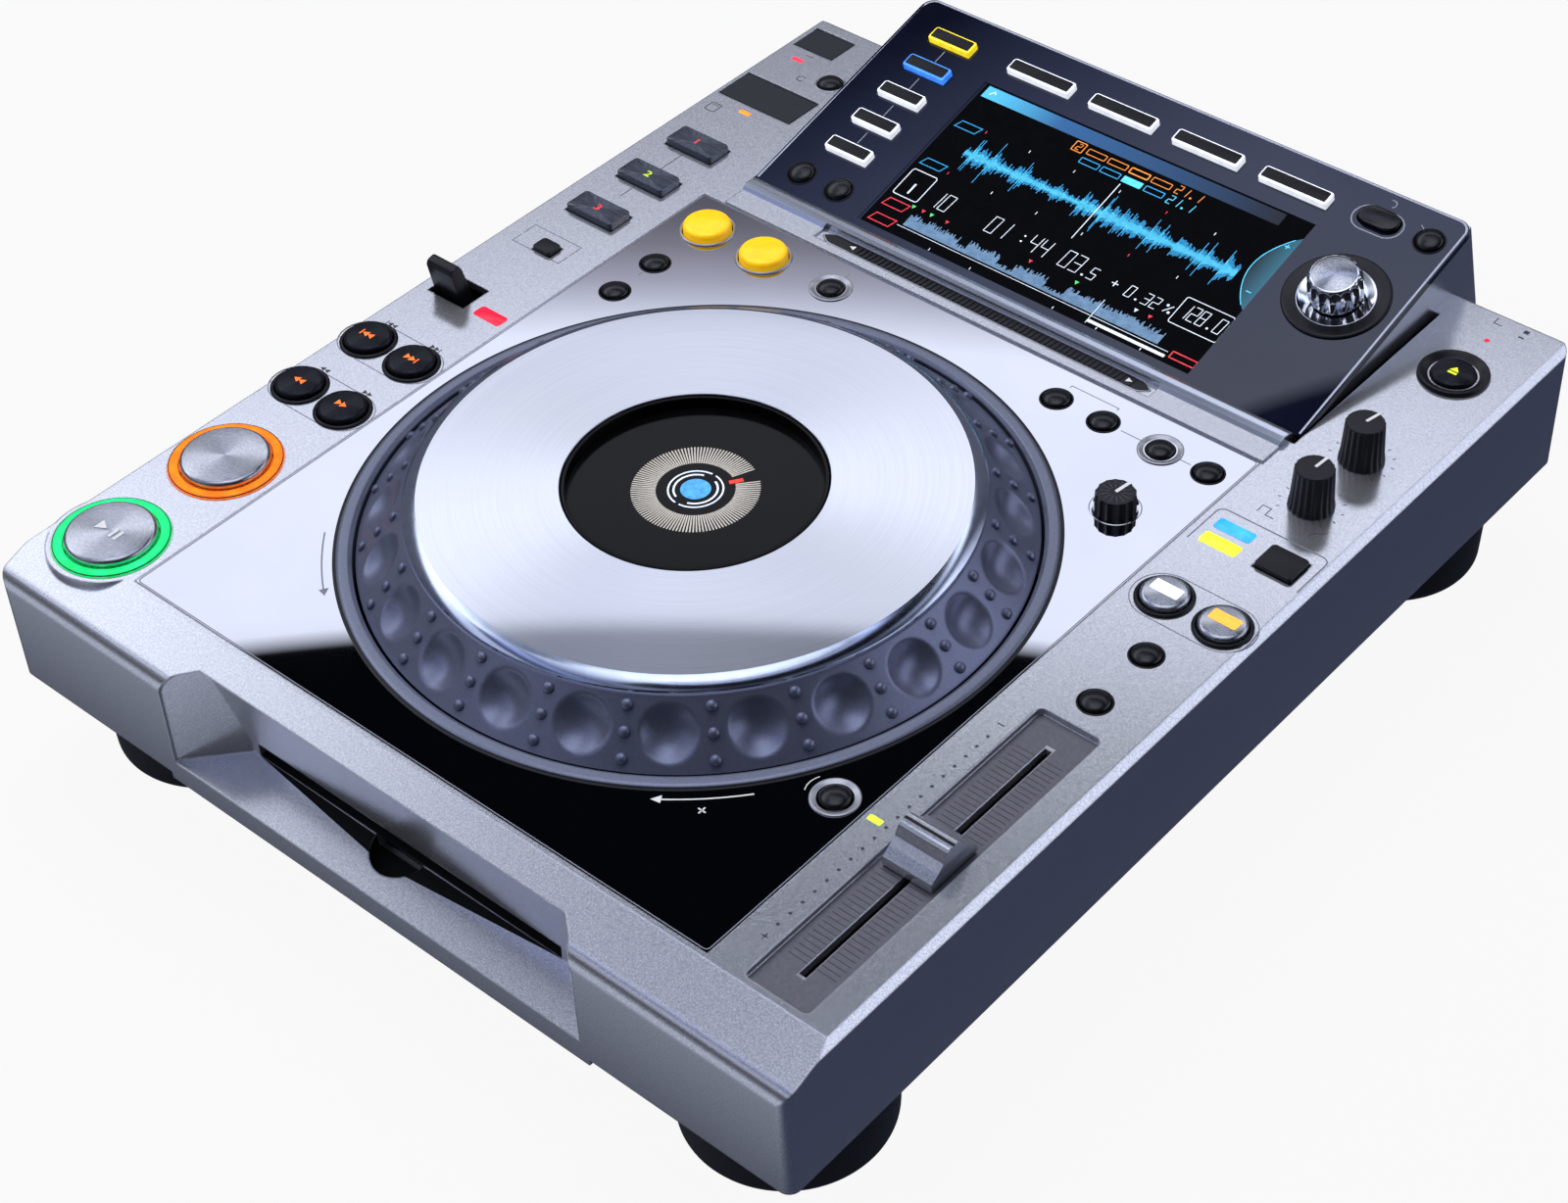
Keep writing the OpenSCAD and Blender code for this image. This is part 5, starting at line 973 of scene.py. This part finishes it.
white += line([(-55.3, 7.4), (57.8, 7.4)], 0.2) + [rounded(42.4, 5.35, 30.8, 1.2, 0.2)]
white += line([(26.9, 4), (26.9, 15.2)], 0.25)
white += dashes(0.3, *[(u, 3.4, u, 4.4) for u in (-38.5, -21, 13.8, 31.6, 49.3)])
red += line(rounded(64, 7.15, 9.6, 2.7, 0.3), 0.5, True)
inside = [(69.2 - 9 * sin(pi * i / 16) ** 0.8, 33.2 + 36.2 * i / 16) for i in range(1, 16)]
inside = [(69.2, 33.2)] + inside + [(69.2, 69.4)]
# display layer: dark teal, lighter at its left edge
glow = finish("display_dial_glow", "#06141C", "#1C5468", 0.3, lit=0.8, fade=(0, 0.064, 0.0735))
set_in("screen_dial", plates([inside], -0.13, -0.1), on_panel(), glow)
cyan += line(inside[1:-1], 0.3)
cyan += dashes(0.4, (64.9, 63.5, 66.9, 63.5), (65.9, 62.5, 65.9, 64.5), (64.9, 41.2, 66.9, 41.2))
for level, (name, shapes, dark, light, strength) in enumerate((
        ("blue", blue, "#187CB4", "#2090C8", 0.85), ("cyan", cyan, "#34ACD8", "#54C8EC", 0.9),
        ("pale", pale, "#4E6C8C", "#6484A4", 0.75), ("orange", orange, "#C4701C", "#E0882C", 0.85),
        ("red", red, "#B01C28", "#CC2C38", 0.85), ("green", green, "#28B850", "#48E070", 0.85),
        ("white", white, "#B4BECC", "#CCD4E0", 0.85))):
    lit_shapes(f"screen_{name}", shapes, dark, light, strength, on_panel(), -0.13, -0.1 + 0.008 * level)

# Panel keys: clear moulded keys that are lit from below, with a black printed top. The back key is a black
# pill in a printed ring.
# black print under clear lacquer: deep black, satin
key_print = finish("black_key_print", "#08090B", "#0D0E11", 0.38, grain=2, shader={"Specular IOR Level": 0.3})
# clear polycarbonate in the colours of the lamps: bright, glossy
white_key = "#D4DAE8", "#F0F4FF"
key_tones = ("#E8C810", "#FFE838"), ("#2C70E8", "#4C98FF"), white_key, white_key, white_key
clear = [finish(f"lit_clear_key_{i + 1}", *tones, 0.25, grain=4, lit=0.8) for i, tones in enumerate(key_tones)]
panel_keys = [("source", i + 1, -91.2, 85.5 - source_pitch * i, 18.2, clear[i]) for i in range(5)]
panel_keys += [("browse", i + 1, -52.1 + browse_pitch * i, 86.2, 26.8, clear[-1]) for i in range(4)]
for kind, i, u, v, wide, lamp_tone in panel_keys:
    key = f"{kind}_button_{i}"
    body_mesh = plates([rounded(u, v, wide, 5.8, 0.7)], -3, 1.85, 0.25)
    top_mesh = plates([rounded(u - 0.2, v + 0.25, wide - 1.4, 4.4, 0.5)], 1.6, 2.0, 0.1)
    set_for(key, f"{kind}_key_{i}", body_mesh, on_panel(), lamp_tone)
    set_in(f"{kind}_key_top_{i}", top_mesh, on_panel(), key_print, key)
back_key = plates([pill(85.6, 87.7, 15, 7.9)], -3, 1.6, 0.7)
set_for("back_button", "back_key", back_key, on_panel(), gloss_black)
for name, u, v in (("tag", 104.6, 87.7), ("quantize", -100.15, 9.8), ("time_mode", -83.35, 9.8)):
    small_button(name, on_panel(u, v))

# Rotary selector: a chromed knob with a fluted rim and a spun top, on a nickel-plated shaft. It turns in
# a polished dish, which a black moulded ring holds in the panel.
# chrome plate on ABS: a hard bright mirror
chrome = finish("chrome_plated_abs", "#E4E6EA", "#F0F1F4", 0.09, metal=1.0, grain=20, vary=0.01)
cover("selector_shaft", nickel)
recess = [(12.9, -0.8), (12.9, 0.1), (13.6, 0.3), (17.2, 0.9), (18, 0.5), (18, -0.8)]
at_selector = on_panel(91.65, 53.4)
set_in("selector_recess", hoop(recess, 0.3, 96), at_selector, black_abs)
bowl = [(3.6, 0.25), (6.5, -0.05), (10, 0.1), (12.4, 0.55), (13.0, 0.75), (13.2, 0.3), (13.2, -0.3), (3.6, -0.3)]
set_in("selector_dish", hoop(bowl, 0.6, 96), at_selector, chrome)
selector_levels = [(11.2, 7.6, 0), (11.15, 7.9, 0.05), (10.7, 8.5, 0.35), (10.0, 8.9, 0.7), (8.6, 9.15, 0.9),
                   (5, 9.2, 1.0), (2.2, 9.2, 1.0), (1.2, 9.0, 0.6), (0.8, 8.6, 0.2)]
set_for("selector_knob", "selector_grip", fluted(selector_levels, 16), at_selector, chrome)
top_side = [(0, 11.28), (7.2, 11.28), (7.5, 11.1), (0, 11.1)]
set_in("selector_top", lathe(top_side, 64), at_selector, spun, "selector_knob")

# Eject button, speed knobs, jog mode, beat sync and master, tempo range and master tempo: black and spun
# caps in moulded rings down the right-hand side.
eject_ring = [(7.4, -0.8), (7.4, -0.2), (8.6, 0.1), (10.6, 1.5), (11.4, 1.5), (11.75, 0.6), (11.75, -0.6)]
set_in("eject_collar", hoop(eject_ring, 0.5, 96), on_deck(right_x, 147.6), black_abs)
eject_side = [(0, 1.5)] + softened([(6, 1.6), (7.2, 1.2), (7.2, -3), (0, -3)], 0.4)
set_for("eject_button", "eject_cap", lathe(eject_side, 64), on_deck(right_x, 147.6), dark_spun)
sign = [[(136.6, 147.6), (right_x, 149.8), (139.8, 147.6)], rounded(right_x, 146.5, 3.2, 0.9, 0.1)]
# yellow-green resin let into the cap: even glow
eject_glow = finish("lit_eject_sign", "#B8C818", "#DCEC38", 0.3, lit=0.8)
set_in("eject_sign", plates(sign, 1.45, 1.66), on_deck(), eject_glow, "eject_button")
knob_levels = [(15, 5.3, 0), (14.95, 5.9, 0.1), (14.6, 6.25, 0.25), (14.2, 6.3, 0.4), (3, 6.95, 0.5), (1, 7.3, 0.4),
               (0.3, 7.4, 0.2), (-3, 7.0, 0.1)]
for name, y, way in (("touch_knob", 94.25, 12), ("release_knob", 66.55, 4)):
    set_for(name, f"{name}_grip", fluted(knob_levels, 20, 2.0), on_deck(right_x, y), knob_abs)
    pointer = plates([rounded(0, 3.1, 1.0, 5.6, 0.2, 2)], 14.9, 15.08)
    pointed = on_deck(right_x, y) @ Matrix.Rotation(radians(-way), 4, "Z")
    set_in(f"{name}_pointer", pointer, pointed, white_ink, name)
mode_face = plates([rounded(146.8, 38, 13, 10.8, 0.9)], -3, 1.6, 0.4)
set_for("jog_mode_button", "jog_mode_face", mode_face, on_deck(), black_abs)
# anodised aluminium, spun: grey with a fan of light
grey_spun = turned("grey_anodised_aluminium", "#B4B8C2", "#D4D7DF", 0.26, 0.8)
pair_ring = [(7.85, -0.6), (7.85, 0.6), (8.5, 1.1), (9.3, 0.5), (9.3, -0.6)]
for name, x, dark, light in (("sync", 127.8, "#E8EAF0", "#F8FAFF"), ("master", 148.6, "#F0A030", "#FFB848")):
    side = [(0, 2.6)] + softened([(5.6, 2.6), (6.8, 2.5), (7.55, 1.9), (7.6, -3), (0, -3)], 0.4)
    set_for(f"{name}_button", f"{name}_cap", lathe(side, 72), on_deck(x, 5), grey_spun)
    set_in(f"{name}_collar", hoop(pair_ring, 0.25, 72), on_deck(x, 5), black_abs)
    # diffusing label window: even glow
    label = finish(f"lit_label_{name}", dark, light, 0.3, lit=0.75)
    window = plates([rounded(x, 6, 9.8, 4.6, 0.6)], 2.5, 2.68)
    set_in(f"{name}_label", window, on_deck(), label, f"{name}_button")
for name, y in (("tempo_range", -18.4), ("master_tempo", -43.1)):
    small_button(name, on_deck(right_x, y))
# clear red lens in the cap: small bright dot
red_lens = finish("lit_red_lens", "#C81E28", "#E83038", 0.2, lit=0.7)
light = lathe([(0, 1.84), (0.9, 1.8), (1.5, 1.6), (0, 1.5)], 24)
set_in("master_tempo_light", light, on_deck(right_x, -43.1), red_lens, "master_tempo_button")

# Tempo fader: a moulded cap with a silver sprayed top and a black index line, over a printed scale plate in
# a sunken trough.
# printed film: satin grey
trough_grey = finish("satin_trough_film", "#5A5B66", "#666772", 0.35, metal=0.3, grain=1.2)
trough = [[(x0, -181.2), (x1, -181.2), (x1, -54.6), (x0, -54.6)] for x0, x1 in ((127.5, 136.6), (139.8, 148.9))]
trough += [[(136.6, y0), (139.8, y0), (139.8, y1), (136.6, y1)] for y0, y1 in ((-181.2, -172), (-63.6, -54.6))]
set_in("trough_film", plates(trough, -2.25, -2.15), on_deck(), trough_grey)
for side, x in (("left", 133.2), ("right", 143.2)):
    ticks = row(plates([rounded(x, 0, 6.6, 0.28, 0.1, 1)], -2.2, -2.1), dark_ink, 50, (0, -69, 0), (0, -2, 0))
    set_in(f"tempo_ticks_{side}", ticks, on_deck(), dark_ink)
cap_side = [(-10, -1.8), (10, -1.8), (10, 1.2), (7, 3.24), (4.4, 5.58), (3, 8.2), (2, 9), (-2, 9), (-3, 8.2),
            (-4.4, 5.58), (-7, 3.24), (-10, 1.2)]
fader_cap = plates([softened(cap_side, 0.5, closed=True)], 0, 17, 0.5)
# sprayed silver on ABS: fine flakes, satin
fader_paint = finish("silver_sprayed_fader_cap", "#B2B6C2", "#CDD1DB", 0.24, metal=0.8, grain=0.6)
set_for("tempo_fader", "fader_cap", fader_cap, across_deck(129.7, -117.9, deck_top), fader_paint)
index_line = plates([rounded(right_x, -117.9, 17.05, 1.0, 0.1)], 8.9, 9.06)
set_in("fader_index", index_line, on_deck(), black_abs, "tempo_fader")

# Mains switch: a push button of the same matt black ABS as the knobs. It stands out of the rear panel and
# latches in the switch behind it.
cover("power_button", knob_abs)
